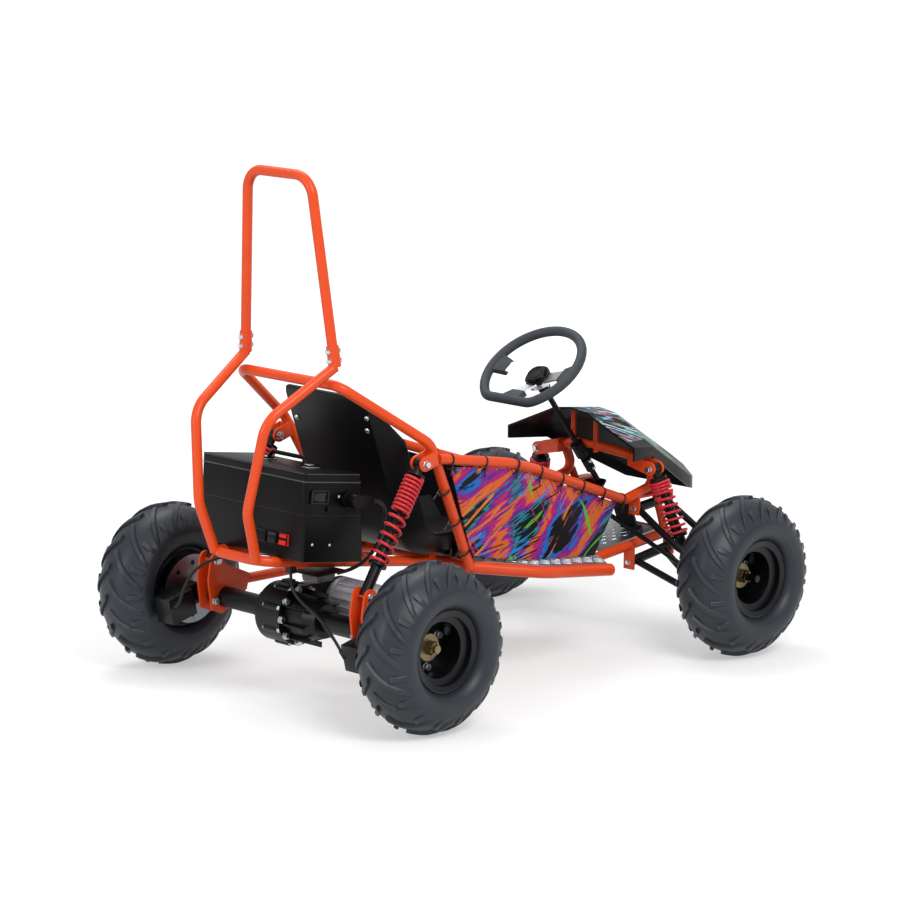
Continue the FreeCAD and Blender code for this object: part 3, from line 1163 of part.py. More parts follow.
def make_steering():
    grip_r = STEERING_WHEEL_D / 2 - GRIP_D / 2
    r = STEERING_CORNER_R
    reach = math.sqrt((grip_r - r) ** 2 - (STEERING_FLAT - r) ** 2)
    turn = math.atan2(reach, STEERING_FLAT - r)

    def corner_arc(sign):
        centre_back, centre_left = STEERING_FLAT - r, sign * reach
        points = []
        for angle in (0, turn / 2, turn):
            points.append(wheel_point(centre_back + r * math.cos(angle), centre_left + sign * r * math.sin(angle)))
        return points

    left, right = corner_arc(1), corner_arc(-1)
    edges = [Part.Arc(*left).toShape()]
    edges.append(Part.Arc(left[2], wheel_point(-grip_r, 0), right[2]).toShape())
    edges.append(Part.Arc(right[2], right[1], right[0]).toShape())
    circle = Part.Circle(wheel_point(STEERING_FLAT, 0), LEFT, GRIP_D / 2)
    first_half = Part.LineSegment(wheel_point(STEERING_FLAT, 0), left[0]).toShape()
    last_half = Part.LineSegment(right[0], wheel_point(STEERING_FLAT, 0)).toShape()
    path = [first_half] + edges + [last_half]
    grip = Part.Wire(path).makePipeShell([Part.Wire([circle.toShape()])], True, False)
    spokes = []
    thin = SPOKE_T
    for angle in (90, 270, 0):
        a = math.radians(angle)
        out_b, out_l = math.cos(a), math.sin(a)
        length = (STEERING_FLAT if angle == 0 else grip_r) - 4
        corners = []
        for along, across, up in ((0, 1, -SPOKE_DROP), (length, 0.72, 0), (length, -0.72, 0), (0, -1, -SPOKE_DROP)):
            b = out_b * along - out_l * across * SPOKE_W / 2
            l = out_l * along + out_b * across * SPOKE_W / 2
            corners.append(wheel_point(b, l, up))
        face = Part.Face(Part.makePolygon(corners + corners[:1]))
        spokes.append(face.extrude(COLUMN_DOWN * -thin))
    pads = []
    for angle, ring in ((90, grip_r), (270, grip_r), (0, STEERING_FLAT)):
        a = math.radians(angle)
        fall = SPOKE_DROP * PAD_L / ring
        corners = []
        for along, across, up in ((ring, 1, 0), (ring, -1, 0), (ring - PAD_L, -0.7, -fall), (ring - PAD_L, 0.7, -fall)):
            b = math.cos(a) * along - math.sin(a) * across * PAD_W / 2
            l = math.sin(a) * along + math.cos(a) * across * PAD_W / 2
            corners.append(wheel_point(b, l, up - PAD_T / 2))
        face = Part.Face(Part.makePolygon(corners + corners[:1]))
        pads.append(face.extrude(COLUMN_DOWN * -PAD_T))
    grip = join([grip] + pads)
    hub_top = STEERING_HUB_T - SPOKE_DROP
    hub = rod(wheel_point(0, 0, -SPOKE_DROP), wheel_point(0, 0, hub_top), STEERING_HUB_D)
    cap = join([
        rod(wheel_point(0, 0, hub_top), wheel_point(0, 0, hub_top + CAP_H * 0.5), STEERING_HUB_D - 6),
        rod(wheel_point(0, 0, hub_top), wheel_point(0, 0, hub_top + CAP_H), STEERING_HUB_D - 20),
    ])
    spokes = join(spokes + [hub]).cut(grip)
    spokes = max(spokes.Solids, key=lambda solid: solid.Volume)
    cap = cap.cut(spokes)
    keep("steering_grip", grip)
    keep("steering_spokes", spokes)
    keep("steering_cap", cap)
    top = wheel_point(0, 0, -SPOKE_DROP)
    shaft = rod(top, COLUMN_END, COLUMN_D)
    boss = rod(top, top + COLUMN_DOWN * 24, 30.0)
    coupler = rod(WHEEL_HUB + COLUMN_DOWN * COUPLER_AT[0], WHEEL_HUB + COLUMN_DOWN * COUPLER_AT[1], COUPLER_D)
    plate_points = []
    for back, left_y in ((-12, -12), (-12, 12), (PITMAN_L, 26), (PITMAN_L + 10, 18), (PITMAN_L + 10, -18), (PITMAN_L, -26)):
        plate_points.append(COLUMN_END + COLUMN_REAR * back + LEFT * left_y)
    face = Part.Face(Part.makePolygon(plate_points + plate_points[:1]))
    pitman = face.extrude(COLUMN_DOWN * -PITMAN_T)
    keep("steering_shaft", join([shaft, boss, coupler, pitman]))


make_steering()


def make_column_support():
    """Cross bar between the ends of the front loops, with the collar that guides the shaft."""
    bar_x, bar_half, bar_z = LOOP_END
    middle = vec((bar_x, 0, bar_z))
    centre = WHEEL_HUB + COLUMN_DOWN * (middle - WHEEL_HUB).dot(COLUMN_DOWN)
    half = COLUMN_DOWN * (COLLAR_L / 2)
    collar = rod(centre - half, centre + half, COLLAR_D)
    cross = bar_y(bar_x, -bar_half, bar_half, bar_z, COLUMN_BAR_D)
    strut = rod(centre, middle, COLUMN_BAR_D)
    support = join([collar, cross, strut])
    support = support.cut(rod(centre - COLUMN_DOWN * 60, centre + COLUMN_DOWN * 60, COLUMN_D + 2 * PIN_PLAY))
    for solid in PARTS["front_loops"]:
        support = support.cut(solid)
    return max(support.Solids, key=lambda solid: solid.Volume)


keep("column_support", make_column_support())


def make_pedals():
    """Two foot pedals on short arms from the floor at the front."""
    pedals = []
    for y in (-64.0, 64.0):
        base = Part.makeBox(30, 40, 8, vec((PEDAL_X, y - 20, skid_top(PEDAL_X + 30) + 0.3)))
        arm = rod((PEDAL_X + 15, y, base.BoundBox.ZMin + 2), (PEDAL_X - 12, y, PEDAL_TOP_Z - 30), 10.0)
        pad = Part.makeBox(6, 56, 76, vec((-3, -28, -38)))
        pad.rotate(vec((0, 0, 0)), vec((0, 1, 0)), -24)
        pad.translate(vec((PEDAL_X - 12, y, PEDAL_TOP_Z - 38)))
        pedals.append(join([base, arm, pad]))
    return pedals


def skid_top(x):
    rise = (RAIL_FRONT_Z - rail_z(RAIL_BEND_X)) / (RAIL_FRONT_X - RAIL_BEND_X)
    return rail_z(RAIL_BEND_X) + rise * (x - RAIL_BEND_X) + FRAME_D / 2 + 0.2 + PLATE_FLOOR_T + 0.1


keep("pedals", make_pedals())

CONTROLLER = (90.0, 80.0, 25.0)
CONTROLLER_FOOT = (-548.0, -132.0, rail_z(-500.0) - FRAME_D / 2 - 31.0)
keep("controller", Part.makeBox(*CONTROLLER, vec(CONTROLLER_FOOT)))

# Hoses and leads along their real routes


def cord_tube(name, points, diameter):
    """Straight runs joined by tangent arcs, each as large as its two runs allow."""
    vectors = [vec(p) for p in points]
    radii = []
    for before, corner, after in zip(vectors, vectors[1:], vectors[2:]):
        to_before, to_after = before - corner, after - corner
        half = to_before.getAngle(to_after) / 2
        radii.append(0.45 * min(to_before.Length, to_after.Length) * math.tan(half))
    print(name, "radii", [round(radius) for radius in radii])
    solid = tube(points, diameter, radii)
    length = sum(edge.Length for edge in path_wire(points, radii).Edges)
    print(name, "volume over section times length", round(solid.Volume / (math.pi * diameter ** 2 / 4 * length), 4))
    return solid


BLOCK = 16.0
LEFT_BLOCK = (-470.0, 86.0)
RIGHT_BLOCK = (-575.0, -82.0)


def make_hose_blocks():
    """Small metal blocks under the rear rails, where the brake hoses begin."""
    blocks = []
    for x, y in (LEFT_BLOCK, RIGHT_BLOCK):
        low = rail_z(x) - FRAME_D / 2 - BLOCK + 4
        block = Part.makeBox(BLOCK, BLOCK, BLOCK, vec((x - BLOCK / 2, y - BLOCK / 2, low)))
        blocks.append(clear_of(block, ["lower_frame"]))
    return blocks


keep("hose_blocks", make_hose_blocks())
left_z = rail_z(LEFT_BLOCK[0]) - FRAME_D / 2 - BLOCK / 2 + 4
right_z = rail_z(RIGHT_BLOCK[0]) - FRAME_D / 2 - BLOCK + 4
UNION_WAY = FreeCAD.Vector(0, 1, -1).normalize()


def hose_route(side, start, rows):
    """From a block under the frame to the caliper's union, which it meets in line."""
    points = [start] + [(AXLE_X + back, side * out, z) for back, out, z in rows]
    last = vec(UNION) - UNION_WAY * 24
    for point in (last, vec(UNION)):
        points.append((point.x, side * point.y, point.z))
    return points


# columns: place behind the axle, distance from the middle, height
LEFT_ROUTE = hose_route(1, (LEFT_BLOCK[0], LEFT_BLOCK[1] + BLOCK / 2, left_z), (
    (18.0, 117.0, 289.0), (6.0, 143.0, 287.0), (-15.0, 167.0, 284.0), (-40.0, 188.0, 279.0),
    (-65.0, 207.0, 269.0), (-87.0, 222.0, 252.0), (-100.0, 232.0, 229.0), (-108.0, 238.0, 205.0),
))
RIGHT_ROUTE = hose_route(-1, (RIGHT_BLOCK[0], RIGHT_BLOCK[1], right_z), (
    (-85.0, 82.0, 270.0), (-85.0, 98.0, 249.0), (-87.0, 126.0, 235.0), (-90.0, 158.0, 224.0),
    (-95.0, 189.0, 212.0), (-104.0, 218.0, 198.0),
))
lead_start = on_box(Part.Vertex(SOCKET_X + 46, -BOX_W / 2 - 26, SOCKET_Z)).Point
LEAD_ROUTE = [
    tuple(lead_start), (-420.0, -188.0, 442.2), (-397.0, -181.0, 420.0), (-390.0, -164.0, 372.0),
    (-394.0, -142.0, 325.0), (-408.0, -122.0, 298.0), (-430.0, -107.0, 284.0),
    (CONTROLLER_FOOT[0] + CONTROLLER[0], -98.0, CONTROLLER_FOOT[2] + 13.0),
]
hoses = [cord_tube("left hose", LEFT_ROUTE, HOSE_D), cord_tube("right hose", RIGHT_ROUTE, HOSE_D)]
keep("brake_hoses", [clear_of(hose, ("hose_blocks", "brake_calipers")) for hose in hoses])
keep("battery_lead", clear_of(cord_tube("battery lead", LEAD_ROUTE, LEAD_D), ("battery_plug", "controller")))

for name, shapes in PARTS.items():
    print(name, len(shapes), [round(shape.Volume) for shape in shapes], all(s.isValid() for s in shapes))

os.makedirs("parts", exist_ok=True)
for name, shapes in PARTS.items():
    shape = shapes[0] if len(shapes) == 1 else Part.makeCompound(shapes)
    shape.exportStep("parts/" + name + ".step")
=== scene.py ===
# %% [markdown]
# # A child's electric buggy with an open tube frame
# The frame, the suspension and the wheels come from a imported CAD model. This notebook dresses them:
# it gives each part the finish of the real one and adds what is too small or too intricate for CAD.

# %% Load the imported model
import math

import bmesh
import bpy
from mathutils import Matrix, Vector
from mathutils.bvhtree import BVHTree


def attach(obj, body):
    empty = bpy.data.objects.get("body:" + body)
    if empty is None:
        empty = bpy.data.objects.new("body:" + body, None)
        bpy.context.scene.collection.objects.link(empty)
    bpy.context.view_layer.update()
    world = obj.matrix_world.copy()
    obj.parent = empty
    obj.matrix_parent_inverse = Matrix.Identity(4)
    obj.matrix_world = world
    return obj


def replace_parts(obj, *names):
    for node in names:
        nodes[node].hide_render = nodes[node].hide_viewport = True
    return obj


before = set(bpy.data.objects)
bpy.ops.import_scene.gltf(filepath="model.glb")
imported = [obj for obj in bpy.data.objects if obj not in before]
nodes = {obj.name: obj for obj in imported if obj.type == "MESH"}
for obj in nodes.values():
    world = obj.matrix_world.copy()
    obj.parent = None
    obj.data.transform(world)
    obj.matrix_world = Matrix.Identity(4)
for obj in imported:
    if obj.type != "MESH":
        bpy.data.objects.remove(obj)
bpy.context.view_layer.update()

# %% [markdown]
# The camera stands behind the buggy's right rear corner, a little above the seat, with a long lens,
# so parallel tubes stay nearly parallel. Its angles were solved from the wheel positions. A small
# helper puts it in the scene, as it will every other new object.

# %% The camera
def in_scene(name, data):
    """A new object for some data, in the scene's collection."""
    made = bpy.data.objects.new(name, data)
    bpy.context.scene.collection.objects.link(made)
    return made


CAMERA_PLACE = (-5.732, -5.798, 2.010)
YAW, PITCH, ROLL = math.radians(45.494), math.radians(10.693), math.radians(0.441)
FOCAL_MM = 151.5


def camera_axes(yaw, pitch, roll):
    """Right, up and backward directions of a camera that looks along yaw and down by pitch."""
    ahead = Vector((math.cos(yaw) * math.cos(pitch), math.sin(yaw) * math.cos(pitch), -math.sin(pitch)))
    right = ahead.cross(Vector((0, 0, 1))).normalized()
    up = right.cross(ahead)
    turned_right = right * math.cos(roll) + up * math.sin(roll)
    turned_up = up * math.cos(roll) - right * math.sin(roll)
    return turned_right, turned_up, -ahead


camera = in_scene("camera", bpy.data.cameras.new("camera"))
camera.data.lens = FOCAL_MM
camera.data.sensor_width = 36.0
camera.data.clip_end = 60.0
looking = Matrix(camera_axes(YAW, PITCH, ROLL)).transposed().to_4x4()
camera.matrix_world = Matrix.Translation(CAMERA_PLACE) @ looking
bpy.context.scene.camera = camera
print("camera at", tuple(round(v, 3) for v in camera.location))

# %% [markdown]
# Every finish is a node tree. One function turns a hex colour, as a paint chart gives it, into the
# linear light that shaders work in, and one adds a node with its settings, colours and links.


# %% Colour and node helpers
def linear(hex_colour):
    """Linear RGBA from an sRGB hex value."""
    channels = [int(hex_colour[i:i + 2], 16) / 255 for i in (1, 3, 5)]
    return tuple(c / 12.92 if c <= 0.04045 else ((c + 0.055) / 1.055) ** 2.4 for c in channels) + (1.0,)


def add(tree, kind, sockets=None, **settings):
    """Add one node: settings are its options, sockets its values, hex colours or linked outputs."""
    made = tree.nodes.new(kind)
    for name, value in settings.items():
        setattr(made, name, value)
    for key, value in (sockets or {}).items():
        if isinstance(value, bpy.types.NodeSocket):
            tree.links.new(value, made.inputs[key])
        elif isinstance(value, str) and value.startswith("#"):
            made.inputs[key].default_value = linear(value)
        else:
            made.inputs[key].default_value = value
    return made


def per_mm(size):
    """Texture scale at which one feature measures size millimetres."""
    return 1000.0 / size


def empty_tree(owner):
    """The emptied node tree of a material or of the world."""
    owner.use_nodes = True
    owner.node_tree.nodes.clear()
    return owner.node_tree


def start_material(name, roughness, metallic=0.0, gloss=0.5):
    """A material with a Principled shader, and the Object coordinates that its patterns read."""
    material = bpy.data.materials.new(name)
    tree = empty_tree(material)
    shader = add(tree, "ShaderNodeBsdfPrincipled", {"Roughness": roughness, "Metallic": metallic,
                                                    "Specular IOR Level": gloss})
    add(tree, "ShaderNodeOutputMaterial", {"Surface": shader.outputs[0]})
    place = add(tree, "ShaderNodeTexCoord").outputs["Object"]
    return material, tree, shader, place


# %% [markdown]
# Most finishes here are two close colours that blend in soft blotches, and a fine grain that breaks
# up the highlight. They could be image textures, but noise follows any shape without unwrapping it.


# %% One tree for all plain finishes
def surface(name, colours, roughness, blotch, grain, metallic=0.0, gloss=0.5, stretch=None):
    """Two colours in blotches (size, detail, roughness), and a raised grain (size, detail, depth)."""
    material, tree, shader, place = start_material(name, roughness, metallic, gloss)
    if stretch:
        place = add(tree, "ShaderNodeMapping", {"Vector": place, "Scale": stretch}).outputs[0]
    size, detail, rough = blotch
    cloud = add(tree, "ShaderNodeTexNoise", {"Vector": place, "Scale": per_mm(size), "Detail": detail,
                                             "Roughness": rough})
    tint = add(tree, "ShaderNodeMix", {0: cloud.outputs["Fac"], 6: colours[0], 7: colours[1]},
               data_type="RGBA")
    tree.links.new(tint.outputs[2], shader.inputs["Base Color"])
    size, detail, depth = grain
    grit = add(tree, "ShaderNodeTexNoise", {"Vector": place, "Scale": per_mm(size), "Detail": detail})
    bump = add(tree, "ShaderNodeBump", {"Height": grit.outputs["Fac"], "Distance": depth / 1000})
    tree.links.new(bump.outputs[0], shader.inputs["Normal"])
    return material


# %% [markdown]
# Powder coat is a paint that is sprayed on dry and baked. It flows into a thick gloss with a faint
# orange-peel waviness of one or two millimetres, which breaks up the highlights along each tube.


# %% Powder coats
def powder_coat(name, colour, shade, roughness, peel=0.05, gloss=0.35):
    """Baked enamel in one colour, slightly darker in soft patches, with orange peel."""
    return surface(name, (colour, shade), roughness, (60, 3, 0.5), (2.2, 1, peel), gloss=gloss)


orange_coat = powder_coat("powder_coat_orange", "#E84F1B", "#DC4513", 0.34)
black_coat = powder_coat("powder_coat_black", "#0A0B0F", "#07080B", 0.36, gloss=0.25)
rim_coat = powder_coat("powder_coat_black_rim", "#0D0F13", "#090A0E", 0.30, gloss=0.30)
arm_coat = powder_coat("powder_coat_graphite", "#0B0C11", "#08090D", 0.34, gloss=0.25)
spring_coat = powder_coat("powder_coat_red_spring", "#D8323A", "#C9262F", 0.36, 0.02)

# %% [markdown]
# Tyre rubber is matt and a little bluish where light grazes it. Moulded plastic keeps the spark
# texture of its tool, so its highlights are broad and soft.


# %% Rubber and moulded plastic
def moulded(name, colour, shade, roughness, grain, depth, gloss=0.3):
    """Moulded or vulcanised material with a fine grain from its tool."""
    return surface(name, (colour, shade), roughness, (45, 4, 0.6), (grain, 2, depth), gloss=gloss)


# a real tool's grain is a few tenths of a millimetre; it is drawn at 1 to 2 mm, or it wouldn't show
tyre_rubber = moulded("vulcanised_rubber", "#2A3037", "#1F242A", 0.44, 3.0, 0.10, 0.4)
seat_plastic = moulded("polypropylene_black_grained", "#08090C", "#050609", 0.40, 1.6, 0.06, 0.18)
box_plastic = moulded("abs_black", "#08080B", "#060609", 0.38, 1.2, 0.04, 0.14)
cowl_plastic = moulded("polypropylene_charcoal", "#0C0D11", "#090A0D", 0.42, 1.6, 0.05, 0.12)
grip_foam = moulded("polyurethane_grip", "#3F454B", "#33383D", 0.60, 1.4, 0.10)
cable_rubber = moulded("cable_sheath", "#1C1D1F", "#131416", 0.50, 1.0, 0.02)
lens_plastic = moulded("acrylic_dark", "#0B0C10", "#08090C", 0.12, 4.0, 0.0)
switch_red = moulded("nylon_red", "#E02B1E", "#D02318", 0.30, 2.0, 0.01)
switch_black = moulded("nylon_black", "#1B1C20", "#141518", 0.30, 2.0, 0.01)
# pale grey for the ridges along the lid's edges: a painted highlight
painted_highlight_plastic = moulded("abs_worn_edge", "#55565E", "#3C3D44", 0.34, 1.2, 0.02)
tie_nylon = moulded("polyamide_black", "#121214", "#0C0C0E", 0.36, 2.0, 0.01)

# %% [markdown]
# The edges of the tread blocks are painted pale as a highlight, and their feet dark as shade.
# Pointiness tells a convex edge from a hollow one, so the tyre's colour reads it.

# %% Painted highlights and shade on the tread
rubber = tyre_rubber.node_tree
shader = [node for node in rubber.nodes if node.type == "BSDF_PRINCIPLED"][0]
colour = shader.inputs["Base Color"].links[0].from_socket
edge = add(rubber, "ShaderNodeNewGeometry").outputs["Pointiness"]
# columns: pointiness where the colour begins and where it is full, and the colour, which is
# painted shade in the hollows and a painted highlight on the edges
for begins, full, paint in ((0.47, 0.40, "#14171B"), (0.54, 0.72, "#4C545E")):
    mask = add(rubber, "ShaderNodeMapRange", {"Value": edge, "From Min": begins, "From Max": full}).outputs[0]
    colour = add(rubber, "ShaderNodeMix", {0: mask, 6: colour, 7: paint}, data_type="RGBA").outputs[2]
rubber.links.new(colour, shader.inputs["Base Color"])

# %% [markdown]
# Metals differ by what was done last. Zinc plating is bright and a little cloudy, yellow passivation
# adds a warm iridescent stain, cast aluminium is grainy, and brushed aluminium has lines along it.


# %% Metals
def metal(name, colour, shade, roughness, grain, depth, stretch=None, plated=1.0):
    """Bare or plated metal; stretch lengthens its grain, plated below 1 is for a dusty, oxidised skin."""
    return surface(name, (colour, shade), roughness, (18, 4, 0.6), (grain, 2, depth), plated, 0.5, stretch)


# the grain of a casting or of ground steel is finer too, and is drawn at 1 to 2 mm for the same reason
zinc = metal("zinc_plated_steel", "#D9DCE0", "#B4B8BE", 0.28, 3.0, 0.03)
yellow_zinc = metal("yellow_passivated_steel", "#9A8B62", "#6E6650", 0.36, 4.0, 0.05)
cast_aluminium = metal("cast_aluminium", "#E2E5EA", "#B9BEC6", 0.42, 1.4, 0.08, plated=0.25)
controller_metal = metal("die_cast_aluminium", "#6A6766", "#2C2A2B", 0.50, 2.0, 0.20, plated=0.5)
brushed_aluminium = metal("brushed_aluminium", "#F1F3F5", "#DADDE1", 0.30, 1.0, 0.03, (1, 1, 12))
disc_steel = metal("ground_steel", "#8F9398", "#6F7378", 0.34, 1.0, 0.03)
plate_aluminium = metal("rolled_aluminium", "#D5D8DC", "#BFC3C8", 0.34, 2.0, 0.03)

# %% [markdown]
# The side panels and the hood carry a printed film. Here it is a made-up pattern of paint strokes.
# Each stroke layer is a noise that is stretched along one slant until it looks like bristle marks.
# A broad noise picks the colour, and the bristle marks fray the borders between the colours.


# %% Printed film
def strokes(tree, place, slant, length, width, detail=3.0):
    """Bristle marks from 0 to 1 along a slant in the XZ plane; length and width in millimetres."""
    turned = add(tree, "ShaderNodeMapping", {"Vector": place, "Rotation": (0, math.radians(slant), 0)})
    # 400 mm across the sheet, so a mark hardly changes through it or over the hood's curve
    laid = add(tree, "ShaderNodeMapping", {"Vector": turned.outputs[0],
                                           "Scale": (per_mm(length), per_mm(400), per_mm(width))})
    marks = add(tree, "ShaderNodeTexNoise", {"Vector": laid.outputs[0], "Scale": 1.0, "Detail": detail,
                                             "Roughness": 0.55})
    return marks.outputs["Fac"]


def printed_film(name, turn, slants, field, fray_depth, palette, layers, plain):
    """Glossy film: frayed colour fields, then patches of strokes (slant, length, width, limit, paint).

    turn rolls the pattern about X: 0 for an upright panel, 90 for a film that lies flat and runs the
    same way on both sides. plain rows are (x, y, z, offset, tear): past that line the film is black.
    """
    material, tree, shader, place = start_material(name, 0.36, gloss=0.12)
    sides = add(tree, "ShaderNodeVectorMath", {0: place}, operation="ABSOLUTE").outputs[0] if turn else place
    pattern = add(tree, "ShaderNodeMapping", {"Vector": sides,
                                              "Rotation": (math.radians(turn), 0, 0)}).outputs[0]
    broad = strokes(tree, pattern, slants[0], field[0], field[1], 0.6)
    frayed = strokes(tree, pattern, slants[1], field[0] * 0.7, 11.0)
    fray = add(tree, "ShaderNodeMath", {0: frayed, 1: 0.5}, operation="SUBTRACT").outputs[0]
    value = add(tree, "ShaderNodeMath", {0: fray, 1: fray_depth, 2: broad},
                operation="MULTIPLY_ADD").outputs[0]
    # the noise seldom leaves the middle of its range, so that part is spread over the whole palette
    spread = add(tree, "ShaderNodeMapRange", {"Value": value, "From Min": 0.29, "From Max": 0.71}).outputs[0]
    fields = add(tree, "ShaderNodeValToRGB", {0: spread})
    fields.color_ramp.interpolation = "CONSTANT"
    stops = fields.color_ramp.elements
    while len(stops) < len(palette):
        stops.new(1.0)
    for stop, (position, paint) in zip(stops, palette):
        stop.position, stop.color = position, linear(paint)
    colour = fields.outputs["Color"]
    # covers: a paint, and the masks that it lies inside, as (value, limit, half width of the edge)
    covers = []
    for slant, length, width, limit, paint in layers:
        patch = strokes(tree, pattern, slant + 70, length * 0.9, length * 0.6, 0.0)
        marks = strokes(tree, pattern, slant, length, width)
        covers.append((paint, ((patch, 0.53, 0.02), (marks, limit, 0.004))))
    for x, y, z, offset, tear in plain:
        reach = add(tree, "ShaderNodeVectorMath", {0: sides, 1: (x, y, z)}, operation="DOT_PRODUCT")
        torn = add(tree, "ShaderNodeMath", {0: fray, 1: tear / 1000, 2: reach.outputs["Value"]},
                   operation="MULTIPLY_ADD").outputs[0]
        covers.append((FILM_BLACK, ((torn, offset / 1000, 0.0004),)))
    # the sheet's back is unprinted: it faces the middle of the car, so place and normal disagree on Y
    way = add(tree, "ShaderNodeTexCoord").outputs["Normal"]
    across = add(tree, "ShaderNodeVectorMath", {0: way, 1: place}, operation="MULTIPLY").outputs[0]
    outward = add(tree, "ShaderNodeSeparateXYZ", {0: across}).outputs["Y"]
    covers.append((FILM_BLACK, ((outward, -0.004, -0.001),)))
    for paint, masks in covers:
        cover = 1.0
        for value, limit, soft in masks:
            inside = add(tree, "ShaderNodeMapRange", {"Value": value, "From Min": limit - soft,
                                                      "From Max": limit + soft}).outputs[0]
            cover = add(tree, "ShaderNodeMath", {0: inside, 1: cover}, operation="MULTIPLY").outputs[0]
        colour = add(tree, "ShaderNodeMix", {0: cover, 6: colour, 7: paint}, data_type="RGBA").outputs[2]
    tree.links.new(colour, shader.inputs["Base Color"])
    return material


FILM_BLACK = "#0B0C10"
PANEL_PALETTE = ((0.0, "#0E0F14"), (0.24, "#1E6FC4"), (0.30, "#6C2F93"), (0.36, "#B7226F"),
                 (0.43, "#D8692A"), (0.58, "#B7226F"), (0.62, "#5B2C8E"), (0.67, "#1A9184"),
                 (0.70, "#0E0F14"), (0.86, "#5DB02E"), (0.92, "#0E0F14"))
PANEL_LAYERS = ((-54, 260, 7, 0.58, "#B81E70"), (14, 160, 5, 0.60, "#2F86DC"), (26, 180, 12, 0.60, "#5C2A90"),
                (-62, 120, 30, 0.63, "#62BA2E"), (8, 150, 5, 0.60, "#0E0F14"), (40, 150, 9, 0.62, "#E07A34"))
HOOD_PALETTE = ((0.0, FILM_BLACK), (0.47, "#15222B"), (0.50, "#7FC0D2"), (0.54, FILM_BLACK),
                (0.74, "#1C7A58"), (0.79, "#B02A70"), (0.83, FILM_BLACK))
HOOD_LAYERS = ((18, 200, 6, 0.60, "#A6DCEA"), (24, 170, 4, 0.62, "#DDEEF4"), (12, 220, 10, 0.59, "#2FA35C"),
               (28, 160, 10, 0.62, "#B82A74"))
# the panel is black behind the slanting leg; the hood keeps a plain border and nose
PANEL_PLAIN = ((-1.0, 0.0, -0.55, 8.0, 60.0),)
HOOD_PLAIN = ((0.332, 1.0, 0.0, 288.0, 0.0), (1.0, 0.0, 0.0, 596.0, 240.0))
panel_film = printed_film("printed_vinyl_panel", 0, (34, 24), (230, 120), 0.20, PANEL_PALETTE, PANEL_LAYERS,
                          PANEL_PLAIN)
hood_film = printed_film("printed_vinyl_hood", 90, (20, 16), (240, 80), 0.30, HOOD_PALETTE, HOOD_LAYERS,
                         HOOD_PLAIN)

# %% [markdown]
# Each CAD node now gets the finish of its real part. One table lists them, so a changed finish is
# one word in one row.

# %% Finishes of the CAD nodes
FINISHES = (
    (orange_coat, "roll_hoop cage_uprights seat_hoop lower_frame sill_bars side_rails front_loops"),
    (orange_coat, "front_frame rear_ears axle_brackets trailing_arms column_support"),
    (arm_coat, "upper_arms lower_arms tie_rod_left tie_rod_right knuckle_left knuckle_right pedals"),
    (black_coat, "axle_housing gearbox rear_dampers front_dampers steering_shaft brake_calipers hose_blocks"),
    (rim_coat, "rim_front_left rim_front_right rim_rear_left rim_rear_right"),
    (tyre_rubber, "tyre_front_left tyre_front_right tyre_rear_left tyre_rear_right"),
    (spring_coat, "rear_springs front_springs"),
    (cast_aluminium, "motor"),
    (plate_aluminium, "floor_plate skid_plate"),
    (seat_plastic, "seat"),
    (box_plastic, "battery_box battery_lid carry_handle battery_plug box_controls steering_cap"),
    (cowl_plastic, "cowl controller"),
    (panel_film, "side_panels"),
    (grip_foam, "steering_grip"),
    (brushed_aluminium, "steering_spokes"),
    (yellow_zinc, "rear_hub_left rear_hub_right"),
    (disc_steel, "brake_disc_left brake_disc_right"),
    (cable_rubber, "brake_hoses battery_lead"),
)
for finish, names in FINISHES:
    for name in names.split():
        nodes[name].data.materials.clear()
        nodes[name].data.materials.append(finish)
print("nodes without a finish:", [n for n, o in nodes.items() if not o.data.materials])

# %% [markdown]
# The added pieces are measured in millimetres, as on a drawing, and turned to metres here. Small
# turned parts, such as bolt heads and caps, come from a lathe that spins a short table of rows.


# %% Helpers that make meshes
def at(*millimetres):
    """A point or vector in metres from millimetres."""
    return Vector(millimetres) / 1000


def on_side(point, side):
    """A point of the left side, or its mirror image where side is -1."""
    return point[0], side * point[1], point[2]


def lathe(rows, count, work=None, closed=False):
    """Spin (radius, height) rows about Z; a zero radius closes the shape in a pole."""
    work = work or bmesh.new()
    rings = []
    for radius, height in rows:
        turns = [math.tau * k / count for k in range(count if radius else 1)]
        rings.append([work.verts.new(at(radius * math.cos(a), radius * math.sin(a), height)) for a in turns])
    for low, high in zip(rings, rings[1:] + (rings[:1] if closed else [])):
        for k in range(count):
            corners = []
            for ring, step in ((low, k), (low, k + 1), (high, k + 1), (high, k)):
                vertex = ring[step % len(ring)]
                if vertex not in corners:
                    corners.append(vertex)
            if len(corners) > 2:
                work.faces.new(corners)
    return work


def block(work, low, high, bevel=0.0, place=None):
    """A box between two corners in millimetres with rounded edges."""
    made = bmesh.ops.create_cube(work, size=1.0)["verts"]
    size, middle = at(*high) - at(*low), (at(*low) + at(*high)) / 2
    bmesh.ops.scale(work, vec=size, verts=made)
    bmesh.ops.translate(work, vec=middle, verts=made)
    if bevel:
        edges = list({edge for vertex in made for edge in vertex.link_edges})
        rounded = bmesh.ops.bevel(work, geom=edges, offset=bevel / 1000, segments=2, profile=0.6,
                                  affect="EDGES")["faces"]
        made = list({v for face in rounded for v in face.verts} | {v for v in made if v.is_valid})
    if place:
        bmesh.ops.transform(work, matrix=place, verts=made)
    return work


def skin(work, rings, closed=False, wrap=True):
    """Faces between rings of points; the rings close on themselves, or the two ends get a cap."""
    rings = [[work.verts.new(point) for point in ring] for ring in rings]
    for low, high in zip(rings, rings[1:] + (rings[:1] if closed else [])):
        for k in range(0 if wrap else 1, len(low)):
            work.faces.new((low[k - 1], low[k], high[k], high[k - 1]))
    if not closed:
        work.faces.new(rings[0])
        work.faces.new(rings[-1][::-1])
    return work


